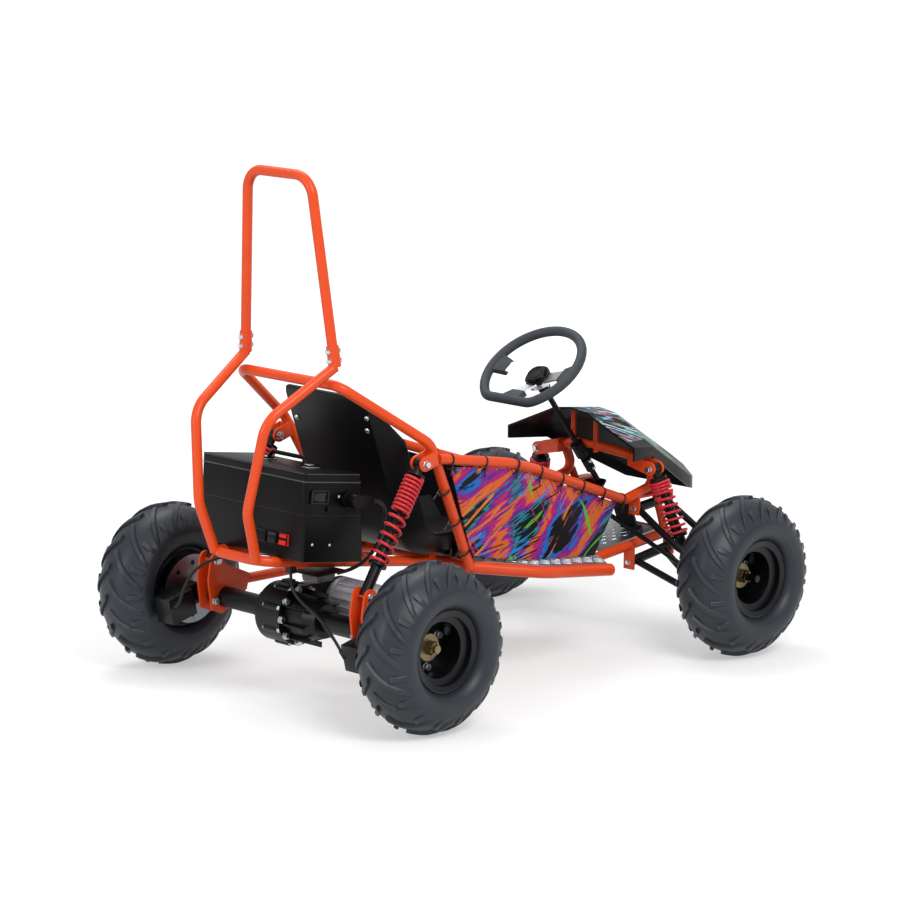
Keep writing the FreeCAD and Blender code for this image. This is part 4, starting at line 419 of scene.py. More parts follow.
def close_mesh(work):
    """Turn a bmesh into a mesh whose faces point outwards."""
    bmesh.ops.recalc_face_normals(work, faces=work.faces)
    mesh = bpy.data.meshes.new("piece")
    work.to_mesh(mesh)
    work.free()
    return mesh


def keep_piece(name, mesh, finish, body, smooth=35):
    """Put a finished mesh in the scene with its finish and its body."""
    mesh.name = name
    mesh.materials.clear()
    mesh.materials.append(finish)
    mesh.shade_smooth()
    mesh.set_sharp_from_angle(angle=math.radians(smooth))
    piece = in_scene(name, mesh)
    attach(piece, body)
    print(name, len(mesh.polygons), "faces")
    return piece


# %% [markdown]
# Repeated parts come from Geometry Nodes. Each tree gets named inputs for its sizes, for the part
# that it repeats and for the finish. It ends in real geometry, which is then kept as a plain mesh.


# %% Geometry Nodes helpers
def start_tree(name, sizes):
    """An empty tree with a named input for each size, for the repeated part and for the finish."""
    tree = bpy.data.node_groups.new(name, "GeometryNodeTree")
    tree.interface.new_socket("Geometry", in_out="INPUT", socket_type="NodeSocketGeometry")
    for label, value in sizes.items():
        kind = "NodeSocketInt" if isinstance(value, int) else "NodeSocketFloat"
        tree.interface.new_socket(label, in_out="INPUT", socket_type=kind).default_value = value
    tree.interface.new_socket("Part", in_out="INPUT", socket_type="NodeSocketObject")
    tree.interface.new_socket("Finish", in_out="INPUT", socket_type="NodeSocketMaterial")
    tree.interface.new_socket("Geometry", in_out="OUTPUT", socket_type="NodeSocketGeometry")
    return tree, add(tree, "NodeGroupInput").outputs


def end_tree(tree, geometry, given):
    """Close a tree: instances made real, then the finish."""
    real = add(tree, "GeometryNodeRealizeInstances", {0: geometry}).outputs[0]
    done = add(tree, "GeometryNodeSetMaterial", {"Geometry": real, "Material": given["Finish"]}).outputs[0]
    add(tree, "NodeGroupOutput", {0: done})


def run_tree(tree, start, part=None, **inputs):
    """Evaluate a tree on a mesh or curve and return the result as a plain mesh."""
    holder = in_scene(tree.name, start)
    if part:
        inputs["Part"] = in_scene(tree.name + "_part", part)
    modifier = holder.modifiers.new("tree", "NODES")
    modifier.node_group = tree
    for item in tree.interface.items_tree:
        if item.in_out == "INPUT" and item.name in inputs:
            modifier[item.identifier] = inputs[item.name]
    ready = bpy.context.evaluated_depsgraph_get()
    mesh = bpy.data.meshes.new_from_object(holder.evaluated_get(ready), depsgraph=ready)
    holder.modifiers.clear()
    bpy.data.objects.remove(holder)
    if part:
        bpy.data.objects.remove(inputs["Part"])
    return mesh


# %% [markdown]
# The coil-over springs are round wire wound on a mandrel, ground flat at both ends. The rear spring
# is wound tight over its upper half and open below, so a curve moves the turns along the axis.

# %% Coil springs
def spring_tree(name, pitch):
    """Tree for one spring; pitch maps the share of the turns to the share of the length."""
    tree, given = start_tree(name, {"Turns": 10.0, "Radius": 0.019, "Wire": 0.003, "Length": 0.2})
    radius, length = given["Radius"], given["Length"]
    spiral = add(tree, "GeometryNodeCurveSpiral", {"Resolution": 26, "Rotations": given["Turns"],
                                                  "Start Radius": radius, "End Radius": radius,
                                                  "Height": length})
    place = add(tree, "ShaderNodeSeparateXYZ", {0: add(tree, "GeometryNodeInputPosition").outputs[0]}).outputs
    share = add(tree, "ShaderNodeMath", {0: place[2], 1: length}, operation="DIVIDE")
    wound = add(tree, "ShaderNodeFloatCurve", {"Value": share.outputs[0]})
    points = wound.mapping.curves[0].points
    while len(points) < len(pitch):
        points.new(0.5, 0.5)
    for point, location in zip(points, pitch):
        point.location = location
        point.handle_type = "VECTOR"
    wound.mapping.update()
    height = add(tree, "ShaderNodeMath", {0: wound.outputs[0], 1: length}, operation="MULTIPLY")
    moved = add(tree, "ShaderNodeCombineXYZ", {0: place[0], 1: place[1], 2: height.outputs[0]})
    wire = add(tree, "GeometryNodeSetPosition", {"Geometry": spiral.outputs[0], "Position": moved.outputs[0]})
    ring = add(tree, "GeometryNodeCurvePrimitiveCircle", {"Resolution": 10, "Radius": given["Wire"]})
    coil = add(tree, "GeometryNodeCurveToMesh", {"Curve": wire.outputs[0], "Profile Curve": ring.outputs[0],
                                                "Fill Caps": True})
    end_tree(tree, coil.outputs[0], given)
    return tree


def along_axis(top, low, start):
    """Matrix that stands Z along a line from top to low, beginning start millimetres from its top."""
    axis = (at(*low) - at(*top)).normalized()
    turned = axis.to_track_quat("Z", "Y").to_matrix().to_4x4()
    return Matrix.Translation(at(*top) + axis * start / 1000) @ turned


REAR_TOP, REAR_LOW = (-343, 228, 517), (-515, 241, 263)
FRONT_TOP, FRONT_LOW = (436, 176, 398), (490, 262, 138)
# rows: share of the turns, share of the length
REAR_PITCH = ((0.0, 0.0), (0.05, 0.02), (0.60, 0.40), (0.95, 0.965), (1.0, 1.0))
FRONT_PITCH = ((0.0, 0.0), (0.06, 0.02), (0.36, 0.20), (0.94, 0.965), (1.0, 1.0))
# columns: node, diameter, pitch, turns, eyes at the top and foot, start and end on the line between
SPRINGS = (("rear_springs", 44.0, REAR_PITCH, 15.0, REAR_TOP, REAR_LOW, 30, 232),
           ("front_springs", 49.0, FRONT_PITCH, 10.0, FRONT_TOP, FRONT_LOW, 28, 158))
WIRE_D = 6.5
for name, spring_d, pitch, turns, top, low, start, end in SPRINGS:
    tree = spring_tree("wound_" + name, pitch)
    both = bmesh.new()
    for side in (1, -1):
        coil = run_tree(tree, bpy.data.meshes.new(name), Turns=turns, Radius=(spring_d - WIRE_D) / 2000,
                        Wire=WIRE_D / 2000, Length=(end - start - WIRE_D) / 1000)
        coil.transform(along_axis(on_side(top, side), on_side(low, side), start + WIRE_D / 2))
        both.from_mesh(coil)
    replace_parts(keep_piece("coils_" + name, close_mesh(both), spring_coat, "root", 60), name)

# %% [markdown]
# Bolts are the repeated detail of this machine. One tree sets a head on each station: a loose point
# that knows which way its bolt faces. The head is a chamfered hexagon on a washer.

# %% Bolt heads
set_out, given = start_tree("heads_on_stations", {"Size": 1.0})
facing = add(set_out, "GeometryNodeInputNamedAttribute", {"Name": "facing"}, data_type="FLOAT_VECTOR")
facing = [socket for socket in facing.outputs if socket.enabled and socket.name == "Attribute"][0]
turned = add(set_out, "FunctionNodeAlignRotationToVector", {"Vector": facing}, axis="Z")
head = add(set_out, "GeometryNodeObjectInfo", {"Object": given["Part"]}).outputs["Geometry"]
placed = add(set_out, "GeometryNodeInstanceOnPoints", {"Points": given["Geometry"], "Instance": head,
                                                       "Rotation": turned.outputs[0], "Scale": given["Size"]})
end_tree(set_out, placed.outputs[0], given)


def stations(rows):
    """Loose points from (place in millimetres, facing) rows."""
    mesh = bpy.data.meshes.new("stations")
    mesh.from_pydata([at(*place) for place, way in rows], [], [])
    facings = [float(v) for place, way in rows for v in way]
    mesh.attributes.new("facing", "FLOAT_VECTOR", "POINT").data.foreach_set("vector", facings)
    return mesh


def circle(x, y, z, radius, degrees, way):
    """Stations on an upright circle beside a wheel or the gear case, all facing left or right."""
    turns = [math.radians(angle) for angle in degrees]
    return [((x + radius * math.cos(a), y, z + radius * math.sin(a)), (0, way, 0)) for a in turns]


def hex_head(across, height, washer_d, washer_t=1.6):
    """Hexagon head with a chamfered crown, standing on its washer."""
    corner, edge, foot = across / 2 / math.cos(math.pi / 6), washer_d / 2, washer_t - 0.2
    work = lathe(((0, 0), (edge, 0), (edge, washer_t * 0.7), (edge - 0.5, washer_t), (0, washer_t)), 20)
    rows = ((0, foot), (corner, foot), (corner, height - 1.1), (corner * 0.86, height), (0, height))
    return close_mesh(lathe(rows, 6, work))


def fasten(name, rows, head, body="root"):
    """Zinc-plated heads on all stations, kept as one piece."""
    keep_piece(name, run_tree(set_out, stations(rows), head, Finish=zinc), zinc, body)


BOLT_OUT = 8.0
PIVOT = (-176, 142, 236)
AXLE_X, AXLE_Z = -490.0, 180.0
# columns: place of a flange of the gear case across the car, and the way that its bolts face
GEAR_FACES = ((-11, -1), (29, 1))
# columns: place, axis, reach of the pin from its middle
PINS = ((REAR_TOP, 1, 24.3), (REAR_LOW, 1, 28.0), (PIVOT, 1, 28.3), (FRONT_TOP, 0, 24.3),
        (FRONT_LOW, 0, 26.0))
# columns: place along the car and height of a wishbone's bolt, and the way that it faces
ARM_BOLTS = ((416.6, 177, -1), (552.4, 196, 1), (431.6, 298, -1), (546.4, 309, 1))
big, small = [], []
for side in (1, -1):
    for place, axis, reach in PINS:
        for end in (1, -1):
            spot, way = list(on_side(place, side)), [0, 0, 0]
            spot[axis] += end * (reach - BOLT_OUT)
            way[axis] = end
            big.append((spot, way))
    big.append(((-521, side * 221, 176), (0, -side, 0)))
    for share in (0.3, 0.75):
        x, y, z = -504 - 3.3 * share, 139 - 4.7 * share, 728 + 43.7 * share
        small += [((x + end * 13, side * y, z), (end, 0, 0)) for end in (1, -1)]
    small += [((x, side * 120, z), (end, 0, 0)) for x, z, end in ARM_BOLTS]
for y, way in GEAR_FACES:
    small += circle(AXLE_X, y, AXLE_Z, 61, [45 * k + 22.5 for k in range(8)], way)
fasten("pivot_bolts", big, hex_head(13, 9.0, 17))
fasten("frame_bolts", small, hex_head(10, 6.4, 13))

# %% [markdown]
# The tyres are the loudest shape on the buggy. The carcass is a lathe of a smooth profile with a
# faint ring on its sidewall. A ring tree then repeats one pitch of the tread sixteen times: a long
# swept lug and a shoulder block on each side, the inner ones half a pitch behind the outer ones.

# %% Tyre carcass
TYRE_D, TYRE_W, BEAD_R, SEAT_R, LUG_H, LUG_T, PITCHES = 360.0, 145.0, 76.0, 76.2, 7.0, 14.0, 16
CROWN_R = TYRE_D / 2 - LUG_H
# rows: share of the half width, height from the bead to the crown as a share
CARCASS = ((0.0, 1.0), (0.05, 1.0), (0.33, 0.975), (0.55, 0.897), (0.745, 0.778), (0.897, 0.66),
           (0.98, 0.557), (1.0, 0.443), (0.96, 0.31), (0.84, 0.196))
# rows: radius, distance from the tyre's middle
SIDEWALL = [(130.0, 70.6), (119.0, 72.4), (107.0, 71.0), (98.0, 66.4), (92.0, 59.4), (88.8, 52.0),
            (88.2, 48.2)]


def carcass_radius(share):
    """Radius of the smooth tyre at a share of its half width, over the tread."""
    for (near, high), (far, low) in zip(CARCASS, CARCASS[1:]):
        if near <= share <= far:
            return BEAD_R + (CROWN_R - BEAD_R) * (high + (low - high) * (share - near) / (far - near))


def smooth_rows(points, steps):
    """Catmull-Rom curve through (a, b) points."""
    rows = []
    ends = [points[0]] + list(points) + [points[-1]]
    for a, b, c, d in zip(ends, ends[1:], ends[2:], ends[3:]):
        for k in range(steps):
            t = k / steps
            rows.append(tuple(0.5 * (2 * q + (r - p) * t + (2 * p - 5 * q + 4 * r - s) * t * t
                                     + (3 * q - p - 3 * r + s) * t ** 3) for p, q, r, s in zip(a, b, c, d)))
    return rows + [points[-1]]


def carcass_mesh():
    """Smooth tyre about Z, with a faint raised ring where its sidewall is 103 mm from the middle."""
    half = [(CROWN_R, 0.0)] + [(carcass_radius(share), share * TYRE_W / 2) for share, _ in CARCASS[1:6]]
    rows = [(radius, out + 0.8 if out > 50 and abs(radius - 103.0) < 3.0 else out)
            for radius, out in smooth_rows(half + SIDEWALL, 4)]
    rows += [(83.0, 46.5), (SEAT_R, 44.5)]
    return lathe([(r, -out) for r, out in reversed(rows[1:])] + rows, 120, closed=True)


# %% Tread lugs and the ring tree
LUG_SWEEP, LUG_HOOK, SHOULDER_SWEEP, SHOULDER_SHIFT = 1.15, 55.0, 0.2, 0.1
# rows: share of the half width, height in lug heights
LONG_LUG = ((0.03, 1.0), (0.36, 1.0), (0.62, 1.0), (0.82, 0.85), (0.95, 0.3))
SHOULDER_LUG = ((0.68, 0.9), (0.83, 0.85), (0.95, 0.3))
# columns: place across the lug in widths, depth under its top in millimetres
SECTION = ((-0.60, None), (-0.50, 1.8), (-0.38, 0.0), (0.38, 0.0), (0.50, 1.8), (0.60, None))


def lug(work, rows, side, sweep, angle, hook=0.0):
    """A block that follows the carcass, swept back and hooked at the shoulder; its foot is buried."""
    middle, rings = (rows[0][0] + rows[-1][0]) / 2, []
    for (near, high), (far, low) in zip(rows, rows[1:]):
        for k in range(3 if far < rows[-1][0] else 4):
            t = k / 3
            share, height = near + (far - near) * t, high + (low - high) * t
            back = -sweep * (share - middle) * TYRE_W / 2 - hook * max(0.0, share - 0.72) ** 2
            ring = []
            for wide, depth in SECTION:
                radius = carcass_radius(share) + (height * LUG_H - depth if depth is not None else -2.0)
                turn = angle + (back + wide * LUG_T) / (TYRE_D / 2)
                ring.append(at(radius * math.sin(turn), side * share * TYRE_W / 2, radius * math.cos(turn)))
            rings.append(ring)
    skin(work, rings, wrap=False)


ring_tree, given = start_tree("ring_about_axle", {"Count": PITCHES})
spots = add(ring_tree, "GeometryNodePoints", {"Count": given["Count"]})
step = add(ring_tree, "ShaderNodeMath", {0: math.tau, 1: given["Count"]}, operation="DIVIDE").outputs[0]
number = add(ring_tree, "GeometryNodeInputIndex").outputs[0]
turn = add(ring_tree, "ShaderNodeMath", {0: number, 1: step}, operation="MULTIPLY").outputs[0]
about = add(ring_tree, "ShaderNodeCombineXYZ", {1: turn}).outputs[0]
part = add(ring_tree, "GeometryNodeObjectInfo", {"Object": given["Part"]}).outputs["Geometry"]
ring = add(ring_tree, "GeometryNodeInstanceOnPoints", {"Points": spots.outputs[0], "Instance": part,
                                                       "Rotation": about})
joined = add(ring_tree, "GeometryNodeJoinGeometry", {0: ring.outputs[0]})
ring_tree.links.new(given["Geometry"], joined.inputs[0])
end_tree(ring_tree, joined.outputs[0], given)

# %% The four tyres
UPRIGHT = Matrix.Rotation(math.radians(-90), 4, "X")
# columns: name, place along the car, distance from the middle, side, feet of the bolt heads and of the nut,
# and the body that the nut is on
WHEELS = (("front_left", 490.0, 395.0, 1, 357.0, 388.4, "knuckle_left"),
          ("front_right", 490.0, 395.0, -1, 357.0, 388.4, "knuckle_right"),
          ("rear_left", AXLE_X, 410.0, 1, 384.0, 403.1, "wheel_rear_left"),
          ("rear_right", AXLE_X, 410.0, -1, 384.0, 403.1, "wheel_rear_right"))
half_tread = (LONG_LUG[-1][0] - LONG_LUG[0][0]) / 2 * TYRE_W / 2
first = -math.asin((LUG_SWEEP * half_tread + LUG_T / 2) / (TYRE_D / 2))
pitch = math.tau / PITCHES
for name, x, y, side, bolt_y, nut_y, nut_body in WHEELS:
    tread = bmesh.new()
    for lug_side, start in ((side, first), (-side, first + pitch / 2)):
        lug(tread, LONG_LUG, lug_side, LUG_SWEEP, start, LUG_HOOK)
        lug(tread, SHOULDER_LUG, lug_side, SHOULDER_SWEEP, start + SHOULDER_SHIFT * pitch)
    carcass = close_mesh(carcass_mesh())
    carcass.transform(UPRIGHT)
    whole = run_tree(ring_tree, carcass, close_mesh(tread), Count=PITCHES, Finish=tyre_rubber)
    whole.transform(Matrix.Translation(at(x, side * y, AXLE_Z)))
    tyre = keep_piece("tread_" + name, whole, tyre_rubber, "wheel_" + name, 30)
    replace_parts(tyre, "tyre_" + name)
    rows = circle(x, side * bolt_y, AXLE_Z, 50, (18, 108, 198, 288), side)
    fasten("wheel_bolts_" + name, rows, hex_head(15.0, 9.2, 19.0, 1.2), "wheel_" + name)

# %% [markdown]
# Each wheel is held by a castle nut on a large washer, plated and passivated to a dull gold. The
# nut's crown is cut into six teeth, which the ring tree repeats round a drum with a split pin.

# %% Castle nuts
for name, x, y, side, bolt_y, nut_y, nut_body in WHEELS:
    nut = lathe(((0, -0.2), (28.8, -0.2), (28.8, 3.6), (27.6, 5.3), (0, 5.3)), 40)
    lathe(((0, 5), (15.3, 5), (15.3, 17.6), (13.4, 19.0), (0, 19.0)), 6, nut)
    lathe(((8.8, 18.4), (12.6, 18.4), (12.6, 21.0), (8.8, 21.0)), 24, nut, closed=True)
    nut = close_mesh(block(nut, (-14.8, -1.2, 20.4), (14.8, 1.2, 22.8), 0.5))
    tooth = close_mesh(block(bmesh.new(), (9.0, -2.6, 20.6), (12.8, 2.6, 25.6), 0.5))
    for mesh in (nut, tooth):
        mesh.transform(UPRIGHT)
    nut = run_tree(ring_tree, nut, tooth, Count=6, Finish=yellow_zinc)
    if side < 0:
        nut.transform(Matrix.Rotation(math.pi, 4, "Z"))
    nut.transform(Matrix.Translation(at(x, side * nut_y, AXLE_Z)))
    keep_piece("castle_nut_" + name, nut, yellow_zinc, nut_body)

# %% [markdown]
# Moulded and pressed parts never have knife edges. A softened copy of a CAD node gets small rounded
# edges, which catch a line of light. The copy takes the node's place and keeps its shape.

# %% Softened edges
SHARP = math.radians(28)


def soften(node, radius, slot, body="root"):
    """Replace a node by a copy with its sharp edges rounded by a radius in millimetres."""
    work = bmesh.new()
    work.from_mesh(nodes[node].data)
    bmesh.ops.remove_doubles(work, verts=work.verts, dist=2e-5)
    bmesh.ops.dissolve_limit(work, angle_limit=math.radians(0.6), verts=work.verts, edges=work.edges)
    edges = [e for e in work.edges if len(e.link_faces) == 2 and e.calc_face_angle(0.0) > SHARP]
    bmesh.ops.bevel(work, geom=edges, offset=radius / 1000, segments=2, profile=0.6, affect="EDGES",
                    clamp_overlap=True)
    bmesh.ops.triangulate(work, faces=[f for f in work.faces if len(f.verts) > 4])
    piece = keep_piece("soft_" + node, close_mesh(work), nodes[node].data.materials[0], body, 40)
    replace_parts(piece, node)
    return piece


# columns: node, radius of its edges, slot name, and the body where it isn't the root
SOFTENED = (("battery_box", 1.6, "box_paint"), ("battery_lid", 1.6, "box_paint"),
            ("seat", 2.6, "moulded_plastic"), ("battery_plug", 2.2, "black_plastic"),
            ("box_controls", 0.9, "black_plastic"), ("cowl", 3.0, "moulded_plastic"),
            ("brake_calipers", 2.0, "black_paint"), ("pedals", 1.2, "black_plastic"),
            ("steering_grip", 3.0, "grip_foam", "steering"), ("axle_brackets", 0.9, "orange_paint"),
            ("rear_ears", 0.9, "orange_paint"), ("column_support", 0.8, "orange_paint"))
soft = {row[0]: soften(*row) for row in SOFTENED}


def second_finish(piece, finish, chosen):
    """Give another finish to the faces that a test picks."""
    piece.data.materials.append(finish)
    for face in piece.data.polygons:
        if chosen(face):
            face.material_index = 1


# the film covers the faces of the hood that look up
second_finish(soft["cowl"], hood_film, lambda face: face.normal.z > 0.35)

# %% [markdown]
# The guide on the steering shaft is a nylon bush in an orange bracket, so its faces, the ones close
# to the shaft's line, are black. The seat back is held by screws whose heads show from behind.

# %% Shaft guide and seat screws
SHAFT_TOP, DOWN = at(223.6, 0, 627.4), Vector((0.60738, 0.0, -0.79441))
GUIDE_R = 0.0156
second_finish(soft["column_support"], black_coat,
              lambda face: (face.center - SHAFT_TOP).cross(DOWN).length < GUIDE_R)
seat = nodes["seat"].data
seat_tree = BVHTree.FromPolygons([v.co for v in seat.vertices], [face.vertices for face in seat.polygons])
rows = []
for y, z in ((-118, 604), (-110, 576), (118, 604), (110, 576), (-96, 330), (96, 330)):
    spot, normal = seat_tree.ray_cast(at(-700, y, z), Vector((1, 0, 0)))[:2]
    rows.append((spot * 1000, normal))
dome = close_mesh(lathe(((0, -0.4), (6.0, -0.4), (5.8, 1.0), (4.2, 2.6), (2.0, 3.3), (0, 3.4)), 16))
fasten("seat_screws", rows, dome)

# %% [markdown]
# The gear case is a black casting. Its joint is held by hexagon bolts, small lugs stand on its top,
# and webs brace the drum. The controller is a finned block under a black plate.

# %% Gear case details and controller
JOINT_Y = -19.0
casting = bmesh.new()
for low, high in (((-514, -8, 238), (-486, 24, 252)), ((-466, -8, 226), (-434, 24, 241)),
                  ((-510, -4, 250), (-490, 20, 256))):
    block(casting, low, high, 2.0)
for index in range(9):
    turned = Matrix.Rotation(math.radians(40 * index + 10), 4, "Z")
    web = close_mesh(block(bmesh.new(), (46.0, -2.0, -84.0), (58.0, 2.0, -17.0), 1.2, turned))
    web.transform(Matrix.Translation(at(AXLE_X, 0, AXLE_Z)) @ UPRIGHT)
    casting.from_mesh(web)
keep_piece("gear_webs", close_mesh(casting), black_coat, "root")
rows = circle(AXLE_X, JOINT_Y, AXLE_Z, 57, (140, 100, 62, -22, -62, -100, -140, 180), -1)
fasten("gear_bolts", rows, hex_head(14, 9.0, 17))
plate = block(bmesh.new(), (-548, -132, 289.0), (-458, -52, 291.5), 0.6)
keep_piece("controller_plate", close_mesh(plate), black_coat, "root")
cooler = block(bmesh.new(), (-546, -130, 281.0), (-494, -84, 289.4), 0.8)
for index in range(9):
    block(cooler, (-545.0 + 5.6 * index, -129, 275.5), (-542.4 + 5.6 * index, -85, 281.4), 0.4)
cooler = keep_piece("controller_cooler", close_mesh(cooler), controller_metal, "root")
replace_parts(cooler, "controller")

# %% [markdown]
# The steering wheel's middle is a moulded cap with concentric steps over three bright spokes. The
# steps come from the lathe, stood on the line of the steering shaft.

# %% Steering cap
CAP_ROWS = ((0, 0.2), (29.6, 0.2), (30.0, 1.0), (30.0, 5.8), (29.0, 7.0), (26.2, 7.2), (25.6, 6.2),
            (24.4, 6.2), (23.4, 8.0), (23.0, 12.6), (21.8, 14.0), (17.8, 14.0), (17.2, 12.8),
            (15.6, 12.8), (15.0, 14.0), (12.6, 14.0), (12.0, 13.0), (0, 13.2))
CAP_BELOW = 28.0
cap = close_mesh(lathe(CAP_ROWS, 56))
cap.transform((-DOWN).to_track_quat("Z", "Y").to_matrix().to_4x4())
cap.transform(Matrix.Translation(SHAFT_TOP + DOWN * CAP_BELOW / 1000))
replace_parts(keep_piece("stepped_cap", cap, box_plastic, "steering"), "steering_cap")
# columns: distance down the shaft, distance beside it, the way that the bolt faces
rows = []
for down, beside, way in ((291, 10, 1), (291, -10, -1), (313, 10, 1), (313, -10, -1), (50, -14, -1)):
    spot = SHAFT_TOP * 1000 + DOWN * down
    rows.append(((spot.x, beside, spot.z), (0, way, 0)))
fasten("shaft_bolts", rows, hex_head(7, 4.6, 9, 1.0), "steering")

# %% [markdown]
# Cable ties lace the printed panels to the frame. A tree walks along a tube's centre line at an
# even spacing and drops a tie on it: a loop that also passes under the panel's edge, with its head
# and cut tail inside.

# %% Cable ties
tie_row, given = start_tree("ties_along_tube", {"Spacing": 0.09})
walk = add(tie_row, "GeometryNodeCurveToPoints", {"Curve": given["Geometry"], "Length": given["Spacing"]},
           mode="LENGTH").outputs
stand = add(tie_row, "FunctionNodeAxesToRotation", {"Primary Axis": walk["Tangent"],
                                                    "Secondary Axis": (0, 0, 1)},
            primary_axis="Z", secondary_axis="Y").outputs[0]
tie = add(tie_row, "GeometryNodeObjectInfo", {"Object": given["Part"]}).outputs["Geometry"]
laced = add(tie_row, "GeometryNodeInstanceOnPoints", {"Points": walk["Points"], "Rotation": stand,
                                                      "Instance": tie})
end_tree(tie_row, laced.outputs[0], given)
LOOP_R, STRAP_T, STRAP_W = 11.9, 1.4, 4.6


def tie_mesh(side, drop):
    """One tie about Z: an oval strap that hangs drop millimetres below the tube, with head and tail."""
    rings = []
    for index in range(28):
        turn = math.tau * index / 28
        nx, ny = math.cos(turn), math.sin(turn)
        x, y = nx * LOOP_R, ny * LOOP_R - drop * max(0.0, -ny) ** 2
        rings.append([at(x + nx * out * STRAP_T / 2, y + ny * out * STRAP_T / 2, along * STRAP_W / 2)
                      for out, along in ((-1, -1), (1, -1), (1, 1), (-1, 1))])
    work = skin(bmesh.new(), rings, closed=True)
    block(work, (side * 8.0 - 3.2, -12.5 - drop * 0.5, -3.2), (side * 8.0 + 3.2, -7.5 - drop * 0.5, 3.2), 0.8)
    block(work, (side * 9.0 - 0.7, -28.0 - drop * 0.5, -1.9), (side * 9.0 + 0.7, -9.5 - drop * 0.5, 1.9))
    return close_mesh(work)


def tube_line(points):
    """A curve through points in millimetres."""
    curve = bpy.data.curves.new("line", "CURVE")
    curve.dimensions = "3D"
    spline = curve.splines.new("POLY")
    spline.points.add(len(points) - 1)
    for point, place in zip(spline.points, points):
        point.co = (*at(*place), 1.0)
    return curve


RAIL_LINE = ((-262, 233, 516), (-95, 239, 488), (-40, 234, 476), (5, 221, 459), (380, 127, 330))
LEG_LINE = ((-183, 197, 302), (-222, 208, 372), (-262, 216, 446))
ties = bmesh.new()
for side in (1, -1):
    for line, spacing, drop in ((RAIL_LINE, 0.086, 9.0), (LEG_LINE, 0.060, 4.0)):
        curve = tube_line([on_side(point, side) for point in line])
        ties.from_mesh(run_tree(tie_row, curve, tie_mesh(side, drop), Spacing=spacing))
keep_piece("cable_ties", close_mesh(ties), tie_nylon, "root")

# %% [markdown]
# The floor is chequer plate: thin aluminium, rolled with raised bars that lean left and right by
# turns. The bars are lens-shaped and 1.3 mm high, and the tree of the bolt heads lays them out.

# %% Chequer plate
BAR = ((-12.0, 0.0), (-6.0, 2.2), (0.0, 3.0), (6.0, 2.2), (12.0, 0.0), (6.0, -2.2), (0.0, -3.0), (-6.0, -2.2))
FLOOR_LINE, SKID_LINE = ((-142, 178), (-6, 264), (216, 242), (300, 132)), ((320, 116), (525, 116))
# columns: node, corners of half the plate as (x, half width), slope, height of the top at x = 0
PLATES = (("floor_plate", FLOOR_LINE, -0.137, 254.2), ("skid_plate", SKID_LINE, 0.1127, 181.0))
BAR_PITCH, END_GAP, SIDE_GAP = 17.0, 12, 14


def bar_mesh(angle):
    """One raised bar, pointed at both ends, turned by an angle."""
    foot, top = [at(x, y, -0.4) for x, y in BAR], [at(x * 0.86, y * 0.55, 1.3) for x, y in BAR]
    bar = close_mesh(skin(bmesh.new(), (foot, top)))
    bar.transform(Matrix.Rotation(math.radians(angle), 4, "Z"))
    return bar


def half_width(outline, x):
    """Half width of a plate at a place along it, from (x, half width) corners."""
    for (x0, w0), (x1, w1) in zip(outline, outline[1:]):
        if x0 <= x <= x1:
            return w0 + (w1 - w0) * (x - x0) / (x1 - x0)
    return 0.0


for name, line, slope, level in PLATES:
    kinds, tilt = ([], []), math.sqrt(1 + slope * slope)
    for row in range(-16, 17):
        for column in range(60):
            x, y = line[0][0] + END_GAP + BAR_PITCH * column, BAR_PITCH * row
            if abs(y) < half_width(line, x) - SIDE_GAP and x < line[-1][0] - END_GAP:
                kinds[(row + column) % 2].append(((x, y, level + slope * x), (-slope / tilt, 0.0, 1 / tilt)))
    bars = bmesh.new()
    for rows, angle in zip(kinds, (42, -42)):
        bars.from_mesh(run_tree(set_out, stations(rows), bar_mesh(angle)))
    keep_piece("bars_" + name, close_mesh(bars), plate_aluminium, "root")

# %% [markdown]
# The battery box has its controls on two sides: a framed display with a key lock beside the plug,
# and two rockers and a charging socket behind. Thin ridges mark its seams, and a lip the lid; the
# pale ridges carry a painted highlight.

# %% Seams of the battery box
BOX_PLACE = Matrix.Translation(at(-615, 0, 335.66)) @ Matrix.Rotation(math.atan(0.137), 4, "Y")
BOX_H, BOX_W, BOX_CORNER_R = 185.0, 324.0, 9.0


def box_end(z, front):
    """Place of the box's front or rear face at a height; both lean back."""
    foot, top = (174.0, 142.0) if front else (0.0, -16.0)
    return foot + (top - foot) * z / BOX_H


def ridge(z, high, out):
    """A band round the box at a height, as a rounded rectangle of six-sided sections."""
    low, far = box_end(z, False) + BOX_CORNER_R, box_end(z, True) - BOX_CORNER_R
    half, inner, outer = BOX_W / 2 - BOX_CORNER_R, BOX_CORNER_R - 1.0, BOX_CORNER_R + out
    section = ((inner, 0.0), (outer - 0.3, 0.0), (outer, 0.35), (outer, 0.65), (outer - 0.3, 1.0),
               (inner, 1.0))
    rings = []
    for x, y, start in ((far, half, 0), (low, half, 90), (low, -half, 180), (far, -half, 270)):
        for k in range(7):
            turn = math.radians(start + 15 * k)
            rings.append([at(x + math.cos(turn) * reach, y + math.sin(turn) * reach, z + share * high)
                          for reach, share in section])
    return close_mesh(skin(bmesh.new(), rings, closed=True))


# the pale finish of the seam ridges is a painted highlight along the lid's top and lower edges
# columns: piece, finish, its bands as (height on the box, width, how far it stands out)
SEAMS = (("box_seams", painted_highlight_plastic, ((165.6, 2.6, 1.5), (182.4, 1.6, 0.5))),
         ("box_waist", switch_black, ((97.0, 1.4, 0.45),)))
for name, finish, bands in SEAMS:
    trims = bmesh.new()
    for band in bands:
        trims.from_mesh(ridge(*band))
    trims = close_mesh(trims)
    trims.transform(BOX_PLACE)
    keep_piece(name, trims, finish, "root")

